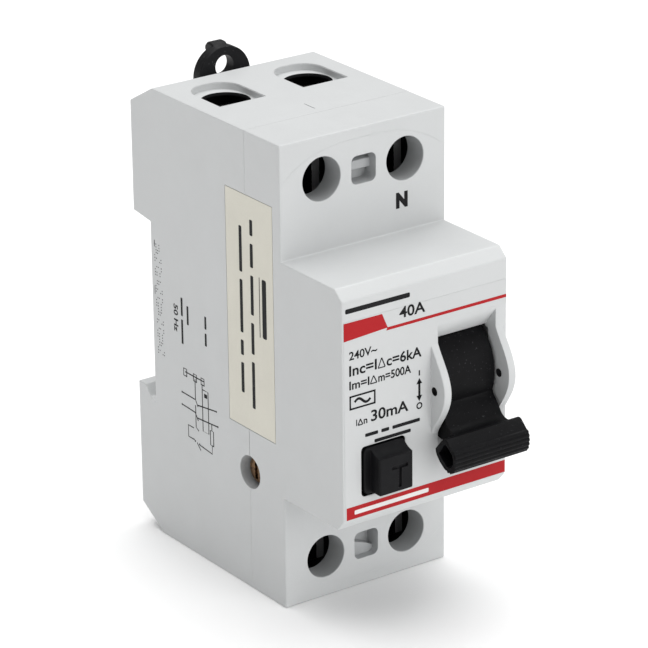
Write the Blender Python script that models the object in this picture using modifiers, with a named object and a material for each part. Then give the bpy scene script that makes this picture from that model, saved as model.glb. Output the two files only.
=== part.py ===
"""A two-pole residual current device for a 35 mm DIN rail, two modules wide.

Frame: +X is the device's right, its front faces -Y, and +Z is up. The origin is the middle
of the seat that rests on the rail. Lengths are in millimetres; MM turns them into metres.
"""

import math

import bmesh
import bpy
from mathutils import Matrix, Vector

MM = 0.001
GAP = 0.3

# Housing, side view. Y runs from the front (negative) to the back.
HALF_WIDTH = 18.0
HALF_HEIGHT = 44.15
WALL = 1.8
INNER_X = HALF_WIDTH - WALL
FASCIA_Y = -60.15
COVER_FRONT_Y = -59.75
SHOULDER_Y = -42.15
SPLIT_Y = -31.4
BACK_Y = 5.2
RECESS_Y = -0.4
MID_CAVITY_Z = 26.5
FASCIA_INNER_Y = COVER_FRONT_Y + WALL
SHOULDER_INNER_Y = SHOULDER_Y + WALL

# Toggle guard: a window with a bulging cheek on each side.
CHEEK_Z = -0.1
CHEEK_HALF = 8.9
CHEEK_RISE = 3.85
CHEEK_FULLNESS = 1.3
WINDOW_LEFT = 2.7
WINDOW_RIGHT = 15.5

# Terminals: one pair at the top, one at the bottom.
POLE_X = 9.05
TERMINAL_Z = 36.25
ACCESS_RADIUS = 4.05
WIRE_BORE_Y = -12.8
WIRE_BORE_RADIUS = 4.1
TONGUE_FRONT_Y = -18.8
TONGUE_BACK_Y = -17.0
CAGE_FRONT_Y = -21.9
CAGE_BACK_Y = -7.1

# Toggle: a drum on a pin, shown down (off). It swings up by TOGGLE_SWING.
TOGGLE_Y = -50.8
TOGGLE_Z = 0.0
DRUM_RADIUS = 10.0
DRUM_LEFT = 3.0
DRUM_RIGHT = 15.0
GRIP_LEFT = 0.6
GRIP_RIGHT = 17.2
PIN_RADIUS = 1.15
TOGGLE_SWING = 74.0
TOGGLE_ANGLE = TOGGLE_SWING / 2
CRANK_RADIUS = 4.5

# Contact carrier: an insulating shaft that the link wire turns by CARRIER_SWING.
CARRIER_Y = -25.0
CARRIER_Z = 2.0
LEVER_RADIUS = 16.0
CARRIER_SWING = 19.5
LINK_SLOPE = 30.8
LINK_X = 1.9
LINK_WIRE = 0.6

# Tie rivets through the width, on the parting plane.
RIVET_ZS = {"lower": -21.0, "upper": 24.5}
RIVET_RECESS_RADIUS = 3.1

# Trip relay and trip lever.
RELAY_X = -8.4
RELAY_Y = -39.2
LEVER_Y = -33.5
LEVER_Z = 20.0

# Core-balance transformer.
CORE_Y = -14.5
CORE_TOP_Z = -10.6
CORE_BOTTOM_Z = -20.8
CORE_INNER = 6.2
CORE_OUTER = 11.5

# DIN clip with its ring.
CLIP_FRONT_Y = 0.7
CLIP_BACK_Y = 3.0
RING_RADIUS = 5.64
RING_Z = 42.25
RING_HOLE_RADIUS = 2.0
RING_HOLE_Z = 44.2
CLIP_POST_Z = 32.8

# Test button.
BUTTON_X = -9.3
BUTTON_Z = -11.85
BUTTON_HALF = 4.45
CAP_FRONT_Y = -63.1

# Colours.
SHELL_GREY = (0.62, 0.63, 0.64)
BLACK = (0.015, 0.015, 0.017)
STEEL = (0.55, 0.55, 0.56)
COPPER = (0.72, 0.38, 0.22)
BRASS = (0.62, 0.45, 0.22)
SILVER = (0.8, 0.8, 0.78)

parts = None
cutters = None


# Scene and helpers

def clear_scene():
    """Empties the file, then adds a collection for the device and one for its cutters."""
    global parts, cutters
    for old in list(bpy.data.objects):
        bpy.data.objects.remove(old, do_unlink=True)
    parts = bpy.data.collections.new("residual_current_device")
    cutters = bpy.data.collections.new("cutters")
    bpy.context.scene.collection.children.link(parts)
    bpy.context.scene.collection.children.link(cutters)


def material(name, colour, roughness=0.5, metallic=0.0):
    """The named Principled material, made the first time that it is asked for."""
    found = bpy.data.materials.get(name)
    if found:
        return found
    found = bpy.data.materials.new(name)
    found.use_nodes = True
    shader = found.node_tree.nodes["Principled BSDF"]
    shader.inputs["Base Color"].default_value = (*colour, 1.0)
    shader.inputs["Roughness"].default_value = roughness
    shader.inputs["Metallic"].default_value = metallic
    found.diffuse_color = (*colour, 1.0)
    return found


def add_object(name, data, finish=None):
    """Links a mesh or curve into the device's collection."""
    made = bpy.data.objects.new(name, data)
    parts.objects.link(made)
    if finish:
        data.materials.append(finish)
    return made


def from_bmesh(name, shape, finish=None):
    """Turns a bmesh in millimetres into an object in metres, round faces shaded smooth."""
    bmesh.ops.scale(shape, vec=(MM, MM, MM), verts=shape.verts)
    mesh = bpy.data.meshes.new(name)
    shape.to_mesh(mesh)
    shape.free()
    mesh.shade_smooth()
    mesh.set_sharp_from_angle(angle=math.radians(35))
    return add_object(name, mesh, finish)


def block(name, low, high, finish=None):
    """A box between two opposite corners."""
    size = [b - a for a, b in zip(low, high)]
    centre = [(a + b) / 2 for a, b in zip(low, high)]
    shape = bmesh.new()
    place = Matrix.Translation(centre) @ Matrix.Diagonal((*size, 1))
    bmesh.ops.create_cube(shape, size=1, matrix=place)
    return from_bmesh(name, shape, finish)


def rod(name, start, end, radius, finish=None, segments=16):
    """A round bar between two points."""
    start, end = Vector(start), Vector(end)
    along = end - start
    turn = along.to_track_quat("Z", "Y").to_matrix().to_4x4()
    shape = bmesh.new()
    bmesh.ops.create_cone(
        shape, cap_ends=True, segments=segments, radius1=radius, radius2=radius,
        depth=along.length, matrix=Matrix.Translation((start + end) / 2) @ turn)
    return from_bmesh(name, shape, finish)


def x_rod(name, y, z, low, high, radius, finish=None, segments=16):
    """A round bar along X."""
    return rod(name, (low, y, z), (high, y, z), radius, finish, segments)


PRISM_TURNS = {
    "X": Matrix(((0, 0, 1, 0), (1, 0, 0, 0), (0, 1, 0, 0), (0, 0, 0, 1))),
    "Y": Matrix(((1, 0, 0, 0), (0, 0, -1, 0), (0, 1, 0, 0), (0, 0, 0, 1))),
    "Z": Matrix.Identity(4),
}
AXIS_NUMBER = {"X": 0, "Y": 1, "Z": 2}


def prism(name, axis, outline, low, high, finish=None):
    """A flat outline pushed along one axis. Its points are (y, z), (x, z) or (x, y)."""
    curve = bpy.data.curves.new(name, "CURVE")
    curve.dimensions = "2D"
    curve.fill_mode = "BOTH"
    curve.extrude = (high - low) / 2 * MM
    spline = curve.splines.new("POLY")
    spline.points.add(len(outline) - 1)
    for point, (a, b) in zip(spline.points, outline):
        point.co = (a * MM, b * MM, 0, 1)
    spline.use_cyclic_u = True
    drawn = bpy.data.objects.new(name + "_outline", curve)
    bpy.context.scene.collection.objects.link(drawn)
    middle = Vector((0, 0, 0))
    middle[AXIS_NUMBER[axis]] = (low + high) / 2 * MM
    graph = bpy.context.evaluated_depsgraph_get()
    mesh = bpy.data.meshes.new_from_object(drawn.evaluated_get(graph))
    bpy.data.objects.remove(drawn)
    mesh.transform(Matrix.Translation(middle) @ PRISM_TURNS[axis])
    shape = bmesh.new()
    shape.from_mesh(mesh)
    bmesh.ops.remove_doubles(shape, verts=shape.verts, dist=1e-7)
    bmesh.ops.recalc_face_normals(shape, faces=shape.faces)
    shape.to_mesh(mesh)
    shape.free()
    mesh.shade_smooth()
    mesh.set_sharp_from_angle(angle=math.radians(35))
    return add_object(name, mesh, finish)


def combine(target, operation, tools):
    """One Boolean on the target with every tool. The tools go with the cutters, as wires."""
    group = bpy.data.collections.new(f"{target.name}_{operation.lower()}_{len(target.modifiers)}")
    cutters.children.link(group)
    for number, tool in enumerate(tools):
        tool.name = f"{group.name}_{number}"
        parts.objects.unlink(tool)
        group.objects.link(tool)
        tool.hide_render = True
        tool.display_type = "WIRE"
    modifier = target.modifiers.new(operation.title(), "BOOLEAN")
    modifier.operation = operation
    modifier.operand_type = "COLLECTION"
    modifier.collection = group
    modifier.solver = "EXACT"


def turned(name, profile, finish, steps=16, place=(0, 0, 0), closed=False, face_front=False):
    """A turned shape. The profile is (radius, height) points that run down the outer side."""
    mesh = bpy.data.meshes.new(name)
    edges = [(i, i + 1) for i in range(len(profile) - 1)]
    if closed:
        edges.append((len(profile) - 1, 0))
    mesh.from_pydata([(r * MM, 0, h * MM) for r, h in profile], edges, [])
    made = add_object(name, mesh, finish)
    screw = made.modifiers.new("Turn", "SCREW")
    screw.steps = steps
    screw.render_steps = steps
    screw.use_merge_vertices = True
    screw.merge_threshold = 1e-6
    made.location = Vector(place) * MM
    if face_front:
        made.rotation_euler = (math.pi / 2, 0, 0)
    return made


def wire(name, points, radius, finish, resolution=1):
    """A round wire through the points."""
    curve = bpy.data.curves.new(name, "CURVE")
    curve.dimensions = "3D"
    curve.bevel_depth = radius * MM
    curve.bevel_resolution = resolution
    curve.use_fill_caps = True
    spline = curve.splines.new("POLY")
    spline.points.add(len(points) - 1)
    for point, co in zip(spline.points, points):
        point.co = (co[0] * MM, co[1] * MM, co[2] * MM, 1)
    return add_object(name, curve, finish)


def smooth_route(points, steps=4):
    """Points on a Catmull-Rom curve through the given ones."""
    ends = [points[0], *points, points[-1]]
    route = []
    for before, start, end, after in zip(ends, ends[1:], ends[2:], ends[3:]):
        p0, p1, p2, p3 = map(Vector, (before, start, end, after))
        for step in range(steps):
            t = step / steps
            route.append(0.5 * (2 * p1 + (p2 - p0) * t + (2 * p0 - 5 * p1 + 4 * p2 - p3) * t**2
                                + (3 * p1 - p0 - 3 * p2 + p3) * t**3))
    return [*route, Vector(points[-1])]


def coil(name, start, end, radius, wire_radius, turns, finish, per_turn=7):
    """A coil spring between two points on its axis."""
    start, end = Vector(start), Vector(end)
    turn = (end - start).to_track_quat("Z", "Y").to_matrix()
    count = round(turns * per_turn)
    points = []
    for i in range(count + 1):
        angle = math.tau * i / per_turn
        round_point = Vector((radius * math.cos(angle), radius * math.sin(angle), 0))
        points.append(start.lerp(end, i / count) + turn @ round_point)
    return wire(name, points, wire_radius, finish, resolution=0)


def centre_on(made, place):
    """Moves the object's origin to a point in millimetres, and leaves the shape where it is."""
    shift = Vector(place) * MM
    made.data.transform(Matrix.Translation(-shift))
    made.location = shift


def pivot(name, place, members, angle=0.0):
    """An empty on a joint's axis that holds the members and then turns them about X."""
    empty = bpy.data.objects.new(name, None)
    parts.objects.link(empty)
    empty.location = Vector(place) * MM
    bpy.context.view_layer.update()
    for member in members:
        member.parent = empty
        member.matrix_parent_inverse = empty.matrix_world.inverted()
    empty.rotation_euler = (math.radians(angle), 0, 0)
    bpy.context.view_layer.update()


def tools_of(made):
    """The cutters that the object's Booleans use."""
    found = []
    for modifier in made.modifiers:
        if modifier.type == "BOOLEAN":
            found.extend(modifier.collection.objects)
    return found


def polar(centre, radius, degrees):
    """A point in the side view, at an angle from straight forward towards up."""
    angle = math.radians(degrees)
    return centre[0] - radius * math.cos(angle), centre[1] + radius * math.sin(angle)


def along_arm(centre, degrees, points):
    """Side-view points from (distance out, distance across) on an arm at that angle."""
    angle = math.radians(degrees)
    out = (-math.cos(angle), math.sin(angle))
    across = (math.sin(angle), math.cos(angle))
    return [(centre[0] + r * out[0] + t * across[0], centre[1] + r * out[1] + t * across[1])
            for r, t in points]


def arc(centre, radius, start, end, steps):
    """Points on an arc in a plane, angles in degrees from its first axis."""
    angles = [math.radians(start + (end - start) * i / steps) for i in range(steps + 1)]
    return [(centre[0] + radius * math.cos(a), centre[1] + radius * math.sin(a)) for a in angles]


# Housing

def wire_entry_outline(x):
    """The arched mouth of a wire entry, seen from above: straight in front, round at the back."""
    half, front, back, corner = 4.85, -18.2, -6.1, 4.4
    right = arc((x + half - corner, back - corner), corner, 0, 90, 5)
    left = arc((x - half + corner, back - corner), corner, 90, 180, 5)
    return [(x - half, front), (x + half, front), *right, *left]


def sides(value):
    """The value and its mirror image, for what repeats left and right or top and bottom."""
    return (-value, value)


def rivet_recesses():
    """The holes that both shells leave for the tie rivets, in the sides and through them."""
    tools = []
    for z in RIVET_ZS.values():
        tools.append(x_rod("shaft_hole", SPLIT_Y, z, -19, 19, 1.8))
        for side in (-1, 1):
            tools.append(x_rod("recess", SPLIT_Y, z, side * 15.6, side * 19, RIVET_RECESS_RADIUS))
    return tools


def rivet_bosses(low, high):
    """Thicker plastic round the rivets' ends, on one side of the parting plane."""
    return [block("boss", (min(side * 14.2, side * 17.5), low, z - 4.4),
                  (max(side * 14.2, side * 17.5), high, z + 4.4))
            for z in RIVET_ZS.values() for side in (-1, 1)]


def sticker_recess():
    return block("sticker_recess", (-19, -39.75, -12.65), (-17.5, -25.05, 32.35))


def rear_base():
    """The back half of the housing: rail recess, lower hook, wire entries and clip channel."""
    front = SPLIT_Y + GAP / 2
    outline = [
        (front, HALF_HEIGHT), (-2.1, HALF_HEIGHT), (BACK_Y, 40.1), (BACK_Y, 18.8),
        (RECESS_Y, 18.1), (RECESS_Y, -17.6), (0.0, -17.6), (1.2, -17.1), (2.86, -15.2), (BACK_Y, -15.2),
        (BACK_Y, -40.0), (-1.8, -HALF_HEIGHT), (front, -HALF_HEIGHT)]
    finish = material("housing_grey", SHELL_GREY, 0.45)
    base = prism("rear_base", "X", outline, -HALF_WIDTH, HALF_WIDTH, finish)
    cavity = block("middle", (-INNER_X, -33, -MID_CAVITY_Z), (INNER_X, -1.8, MID_CAVITY_Z))
    combine(base, "DIFFERENCE", [cavity])
    ribs = [block("pole_rib", (-0.8, front, 9), (0.8, -1.5, MID_CAVITY_Z + 0.5)),
            block("rail_pad", (-15.5, -1.0, -13), (15.5, 0, 13))]
    combine(base, "UNION", ribs + rivet_bosses(front, -26.9))
    cuts = rivet_recesses() + [sticker_recess()]
    cuts.append(x_rod("axle_bearing", CARRIER_Y, CARRIER_Z, -17.2, 17.2, 1.5))
    for x in sides(POLE_X):
        for side in (-1, 1):
            cuts.append(block("pocket", (x - 5.5, -33, min(side * 28, side * 42.3)),
                              (x + 5.5, -5, max(side * 28, side * 42.3))))
            cuts.append(block("tongue_slot", (x - 4, -19.4, min(side * 26, side * 28.5)),
                              (x + 4, -16.4, max(side * 26, side * 28.5))))
            mouth = (min(side * 43.1, side * 46), max(side * 43.1, side * 46))
            cuts.append(prism("mouth", "Z", wire_entry_outline(x), *mouth))
            cuts.append(rod("bore", (x, WIRE_BORE_Y, side * 41), (x, WIRE_BORE_Y, side * 45),
                            WIRE_BORE_RADIUS, segments=24))
    cuts.append(block("clip_channel", (-6.0, CLIP_FRONT_Y - 0.3, 17), (6.0, CLIP_BACK_Y + 0.4, 46)))
    cuts.append(block("clip_mouth", (-4.4, 3.2, 17), (4.4, 6, 46)))
    combine(base, "DIFFERENCE", cuts)
    post = block("clip_post", (-1.8, -0.6, CLIP_POST_Z), (1.8, CLIP_BACK_Y - GAP, CLIP_POST_Z + 2.2))
    combine(base, "UNION", [post])


def cheek_outline():
    """One cheek of the toggle guard, side view: a bump with sloping flanks on the fascia."""
    steps = 16
    spots = [1 - 2 * i / steps for i in range(steps + 1)]
    bump = [(FASCIA_Y - CHEEK_RISE * math.cos(math.pi / 2 * s) ** CHEEK_FULLNESS, CHEEK_Z + CHEEK_HALF * s)
            for s in spots]
    return [(COVER_FRONT_Y + 0.5, bump[0][1]), *bump, (COVER_FRONT_Y + 0.5, bump[-1][1])]


def front_cover():
    """The front half: shoulders with access holes, the fascia block and the toggle guard."""
    back = SPLIT_Y - GAP / 2
    outline = [
        (back, HALF_HEIGHT), (SHOULDER_Y, HALF_HEIGHT), (SHOULDER_Y, 22.7), (-58.0, 22.7),
        (COVER_FRONT_Y, 20.9), (COVER_FRONT_Y, -20.7), (-58.4, -22.5), (SHOULDER_Y, -22.5),
        (SHOULDER_Y, -HALF_HEIGHT), (back, -HALF_HEIGHT)]
    inside = [
        (-31.0, MID_CAVITY_Z), (SHOULDER_INNER_Y, MID_CAVITY_Z), (SHOULDER_INNER_Y, 20.9),
        (-56.9, 20.9), (FASCIA_INNER_Y, 19.9), (FASCIA_INNER_Y, -19.6), (-57.0, -20.7),
        (SHOULDER_INNER_Y, -20.7), (SHOULDER_INNER_Y, -MID_CAVITY_Z), (-31.0, -MID_CAVITY_Z)]
    finish = material("housing_grey", SHELL_GREY, 0.45)
    cover = prism("front_cover", "X", outline, -HALF_WIDTH, HALF_WIDTH, finish)
    hollows = [prism("inside", "X", inside, -INNER_X, INNER_X)]
    for x in sides(POLE_X):
        for side in (-1, 1):
            hollows.append(block("terminal_room", (x - 7.1, -37.5, min(side * 28, side * 42.3)),
                                 (x + 7.1, -31, max(side * 28, side * 42.3))))
    combine(cover, "DIFFERENCE", hollows)
    cheeks = ((WINDOW_LEFT - 1.5, WINDOW_LEFT + 0.4), (WINDOW_RIGHT - 0.4, WINDOW_RIGHT + 1.6))
    guards = [prism("cheek", "X", cheek_outline(), low, high) for low, high in cheeks]
    guards += [block("window_frame", (1.2, -58.6, min(side * 7.6, side * 14)),
                     (INNER_X + 0.5, -57.1, max(side * 7.6, side * 14))) for side in (-1, 1)]
    guards.append(block("pin_rib", (0.0, -58.6, -4.5), (1.0, -47, 4.5)))
    guards.append(block("lever_rib_left", (-14.6, -40.6, 18.2), (-12.6, -31.9, 27)))
    guards.append(block("lever_rib_right", (1.1, -40.6, 18.5), (2.1, -31.9, 27)))
    for x in sides(POLE_X):
        for side in (-1, 1):
            for low, high in ((27.5, 33.2), (39.3, 43)):
                guards.append(block("screw_stop", (x - 1.5, -37.8, min(side * low, side * high)),
                                    (x + 1.5, -33.6, max(side * low, side * high))))
    combine(cover, "UNION", guards + rivet_bosses(-35.9, back))
    window = [(-65, 17.75), (-56.5, 7.58), (-56.5, -7.58), (-65, -17.75)]
    cuts = [prism("window", "X", window, WINDOW_LEFT, WINDOW_RIGHT), sticker_recess(), *rivet_recesses()]
    cuts.append(x_rod("pin_hole", TOGGLE_Y, TOGGLE_Z, -0.5, 17.3, PIN_RADIUS + 0.25))
    cuts.append(x_rod("seal_hole", -61.1, -0.1, 0.5, 18.5, 0.8, segments=12))
    cuts.append(x_rod("lever_pin_hole", LEVER_Y, LEVER_Z, -14.6, 2.5, 1.0, segments=16))
    cuts.append(block("button_hole", (BUTTON_X - BUTTON_HALF - GAP, -61, BUTTON_Z - BUTTON_HALF - GAP),
                      (BUTTON_X + BUTTON_HALF + GAP, -57, BUTTON_Z + BUTTON_HALF + GAP)))
    for side in (-1, 1):
        z = side * TERMINAL_Z
        for x in sides(POLE_X):
            cuts.append(rod("access", (x, -44, z), (x, -37, z), ACCESS_RADIUS, segments=32))
        cuts.append(block("middle_slot", (-2.65, -43, z - 2.65), (2.65, -38.35, z + 2.65)))
    combine(cover, "DIFFERENCE", cuts)


def tie_rivets():
    """Brass rivets that hold the two shells together, one near each end."""
    finish = material("brass", BRASS, 0.35, 1.0)
    head, shank = 2.6, 1.45
    for place, z in RIVET_ZS.items():
        profile = [(0, 16.6), (head - 0.4, 16.6), (head, 16.3), (head, 15.9), (shank, 15.9),
                   (shank, -15.9), (head, -15.9), (head, -16.3), (head - 0.4, -16.6), (0, -16.6)]
        made = turned(f"tie_rivet_{place}", profile, finish, place=(0, SPLIT_Y, z))
        made.rotation_euler = (0, math.pi / 2, 0)
        slots = [block("slot", (min(side * 16.0, side * 17), SPLIT_Y - 0.5, z - 1.7),
                       (max(side * 16.0, side * 17), SPLIT_Y + 0.5, z + 1.7)) for side in (-1, 1)]
        combine(made, "DIFFERENCE", slots)


def front_label():
    """The printed film on the fascia, cut out round the button and the toggle guard."""
    outline = [
        (-17.6, -20.3), (17.8, -20.3), (17.8, -12.6), (0.15, -12.6), (0.15, 12.6), (17.8, 12.6),
        (17.8, 17.0), (-17.6, 17.0)]
    label = prism("front_label", "Y", outline, FASCIA_Y, FASCIA_Y + 0.1,
                  material("label_film", (0.7, 0.7, 0.7), 0.35))
    hole = block("button_cutout", (BUTTON_X - 4.85, -61, BUTTON_Z - 4.85),
                 (BUTTON_X + 4.85, -59, BUTTON_Z + 4.85))
    combine(label, "DIFFERENCE", [hole])


def side_sticker():
    block("side_sticker", (-HALF_WIDTH, -39.6, -12.5), (-HALF_WIDTH + 0.15, -25.2, 32.2),
          material("sticker_paper", (0.56, 0.54, 0.48), 0.7))


# DIN clip

def din_clip():
    """A slide in the back of the base: its ring pulls up and its nose holds the rail."""
    finish = material("clip_black", BLACK, 0.45)
    ring = arc((0, RING_Z), RING_RADIUS, 0, 180, 20)
    outline = [(-RING_RADIUS, 19.0), (RING_RADIUS, 19.0), *ring]
    clip = prism("din_clip", "Y", outline, CLIP_FRONT_Y, CLIP_BACK_Y, finish)
    nose = [(1.3, 17.2), (2.8, 15.6), (4.9, 15.6), (4.9, 20.0), (2.6, 22.3), (0.9, 22.3), (0.9, 18.9)]
    knob = [(2.0, 45.6), (5.1, 46.4), (5.1, 47.4), (4.2, 48.3), (2.6, 48.3), (0.9, 47.0)]
    combine(clip, "UNION", [prism("nose", "X", nose, -4.0, 4.0), prism("knob", "X", knob, -1.5, 1.5)])
    combine(clip, "DIFFERENCE", [
        block("spring_window", (-2.3, 0, 23), (2.3, 6, CLIP_POST_Z + 2.5)),
        rod("ring_hole", (0, -1, RING_HOLE_Z), (0, 7, RING_HOLE_Z), RING_HOLE_RADIUS, segments=24)])
    centre_on(clip, (0, CLIP_FRONT_Y, 19))
    middle_y = (CLIP_FRONT_Y + CLIP_BACK_Y) / 2
    coil("din_clip_spring", (0, middle_y, 23.6), (0, middle_y, CLIP_POST_Z - 0.6), 1.1, 0.2, 7,
         material("spring_steel", STEEL, 0.3, 1.0))


# Toggle

def toggle():
    """The handle: a hollow drum on a hub, a neck and a wider grip bar."""
    centre = (TOGGLE_Y, TOGGLE_Z)
    black = material("toggle_black", BLACK, 0.4)
    handle = x_rod("toggle", *centre, DRUM_LEFT, DRUM_RIGHT, DRUM_RADIUS, black, segments=40)
    pocket = x_rod("pocket", *centre, DRUM_LEFT + 2.2, DRUM_RIGHT - 2.2, 8.3, segments=24)
    mouth = along_arm(centre, 143, [(4, -6), (12, -6), (12, 6), (4, 6)])
    opening = prism("opening", "X", mouth, DRUM_LEFT + 2.5, DRUM_RIGHT - 2.5)
    combine(handle, "DIFFERENCE", [pocket, opening])
    down = -TOGGLE_ANGLE
    neck = along_arm(centre, down, [
        (8.6, 4.2), (9.75, 2.45), (10.6, 2.5), (11.4, 2.4), (12.75, 1.9), (13.6, 1.6), (14.5, 1.55),
        (15.8, 2.0), (15.8, -1.3), (15.15, -1.1), (12.9, -2.3), (11.0, -2.55), (9.7, -2.45), (9.0, -2.9)])
    grip = along_arm(centre, down, [
        (15.3, -1.5), (15.6, 2.1), (16.3, 2.6), (18.9, 2.6), (20.2, 1.9), (21.0, 0.8), (21.4, -0.5),
        (20.8, -1.8), (19.4, -2.3), (17.6, -2.4), (15.9, -1.9)])
    combine(handle, "UNION", [
        prism("neck", "X", neck, DRUM_LEFT + 0.15, DRUM_RIGHT - 0.15),
        prism("grip", "X", grip, GRIP_LEFT, GRIP_RIGHT), x_rod("hub", *centre, 4.5, 13.5, 2.3)])
    crank = polar(centre, CRANK_RADIUS, 90 - LINK_SLOPE - TOGGLE_ANGLE)
    hollow = along_arm(centre, down, [(16.6, -1.2), (16.9, 1.3), (19.2, 1.5), (20.0, 0.2), (19.2, -1.3)])
    combine(handle, "DIFFERENCE", [
        prism("grip_hollow", "X", hollow, GRIP_LEFT - 0.5, GRIP_LEFT + 5),
        x_rod("bore", *centre, 2, 16, PIN_RADIUS + 0.15),
        x_rod("crank_hole", *crank, 2, 5.4, LINK_WIRE + 0.3, segments=16)])
    centre_on(handle, (0, *centre))
    steel = material("spring_steel", STEEL, 0.3, 1.0)
    x_rod("toggle_pin", *centre, 0.0, 17.0, PIN_RADIUS, material("pin_steel", STEEL, 0.25, 1.0), segments=20)
    coil("toggle_spring", (6.3, *centre), (11.7, *centre), 3.1, 0.3, 6, steel)
    return crank


def toggle_link(crank):
    """The bent wire from the drum's crank hole to the carrier's lever."""
    shaft = (CARRIER_Y, CARRIER_Z)
    tip = polar(shaft, LEVER_RADIUS, 90 - LINK_SLOPE - CARRIER_SWING / 2)
    points = [(4.9, *crank), (LINK_X, *crank), (LINK_X, *tip), (4.9, *tip)]
    link = wire("toggle_link", points, LINK_WIRE, material("link_steel", STEEL, 0.25, 1.0), resolution=2)
    centre_on(link, (LINK_X, *crank))


# Contacts. The moving group is drawn closed, then turned open about its shaft.

def contact_carrier():
    """The insulating shaft with its lever, arms, tips and springs on an axle."""
    shaft = (CARRIER_Y, CARRIER_Z)
    black = material("carrier_black", BLACK, 0.5)
    copper = material("copper", COPPER, 0.35, 1.0)
    carrier = x_rod("contact_carrier", *shaft, -14.6, 14.6, 3.2, black)
    closed_angle = 90 - LINK_SLOPE + CARRIER_SWING / 2
    lever = along_arm(shaft, closed_angle, [
        (1, -2.4), (16.6, -2.0), (18.4, -1.2), (18.4, 1.2), (16.6, 2.0), (1, 2.4)])
    slot_half = LINK_WIRE + 0.3
    slot = [(LEVER_RADIUS - 0.5, -slot_half), (LEVER_RADIUS + 1.1, -slot_half),
            (LEVER_RADIUS + 1.4, 0), (LEVER_RADIUS + 1.1, slot_half),
            (LEVER_RADIUS - 0.5, slot_half), (LEVER_RADIUS - 0.9, 0)]
    blades = [block("blade", (x - 3.2, -28.3, 1), (x + 3.2, -26.5, 15)) for x in sides(POLE_X)]
    combine(carrier, "UNION", [prism("lever", "X", lever, 3.2, 5.4), *blades])
    combine(carrier, "DIFFERENCE", [
        prism("slot", "X", along_arm(shaft, closed_angle, slot), 2, 6.5),
        x_rod("bore", *shaft, -16, 16, 1.35)])
    members = [carrier]
    for side, x in (("left", -POLE_X), ("right", POLE_X)):
        members.append(block(f"moving_contact_arm_{side}",
                             (x - 2.5, -23.5, 5.6), (x + 2.5, -22.0, 20), copper))
        members.append(block(f"moving_contact_tip_{side}", (x - 1.9, -21.7, 16.2), (x + 1.9, -20.6, 19.6),
                             material("contact_silver", SILVER, 0.3, 1.0)))
        members.append(coil(f"contact_spring_{side}", (x, -26.0, 11.5), (x, -24.0, 11.5), 1.25, 0.2, 3,
                            material("spring_steel", STEEL, 0.3, 1.0)))
    tools = [tool for member in members for tool in tools_of(member)]
    pivot("carrier_axis", (0, *shaft), members + tools, CARRIER_SWING)
    x_rod("carrier_axle", *shaft, -16.9, 16.9, 1.15, material("pin_steel", STEEL, 0.25, 1.0), segments=20)


def terminal(pole, x, end, side):
    """One terminal: its bar, its lift cage and the screw that draws the cage forward."""
    z = side * TERMINAL_Z
    zinc = material("zinc_steel", STEEL, 0.3, 1.0)
    cage = block(f"terminal_cage_{end}_{pole}",
                 (x - 4.9, CAGE_FRONT_Y, z - 4), (x + 4.9, CAGE_BACK_Y, z + 4), zinc)
    combine(cage, "DIFFERENCE", [
        block("wire_room", (x - 3.9, CAGE_FRONT_Y + 2.5, z - 5), (x + 3.9, CAGE_BACK_Y - 1.2, z + 5)),
        rod("thread", (x, CAGE_FRONT_Y - 1, z), (x, CAGE_FRONT_Y + 3, z), 2.7)])
    centre_on(cage, (x, CAGE_FRONT_Y, z))
    head_y = -33.2
    profile = [(0, 0), (3.2, 0), (3.6, -0.4), (3.6, -3.5), (2.4, -3.5), (2.4, -13.6), (1.9, -14.1),
               (0, -14.1)]
    screw = turned(f"terminal_screw_{end}_{pole}", profile, zinc, place=(x, head_y, z), face_front=True)
    for name, across, up, deep in (("slot", 2.9, 0.5, 1.6), ("cross", 0.5, 2.0, 1.3)):
        combine(screw, "DIFFERENCE", [block(name, (x - across, head_y - 1, z - up),
                                            (x + across, head_y + deep, z + up))])
    name, inner = ("line_bar", 15.5) if side > 0 else ("load_bar", -22.4)
    low, high = sorted((inner, side * 39.8))
    block(f"{name}_{pole}", (x - 3.5, TONGUE_FRONT_Y, low), (x + 3.5, TONGUE_BACK_Y, high),
          material("copper", COPPER, 0.35, 1.0))


def contacts_and_terminals():
    for pole, x in (("left", -POLE_X), ("right", POLE_X)):
        terminal(pole, x, "line", 1)
        terminal(pole, x, "load", -1)
        block(f"fixed_contact_tip_{pole}", (x - 1.9, TONGUE_FRONT_Y - 1.5, 16.2),
              (x + 1.9, TONGUE_FRONT_Y - GAP, 19.6), material("contact_silver", SILVER, 0.3, 1.0))


# Trip relay, trip lever and chassis

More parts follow.
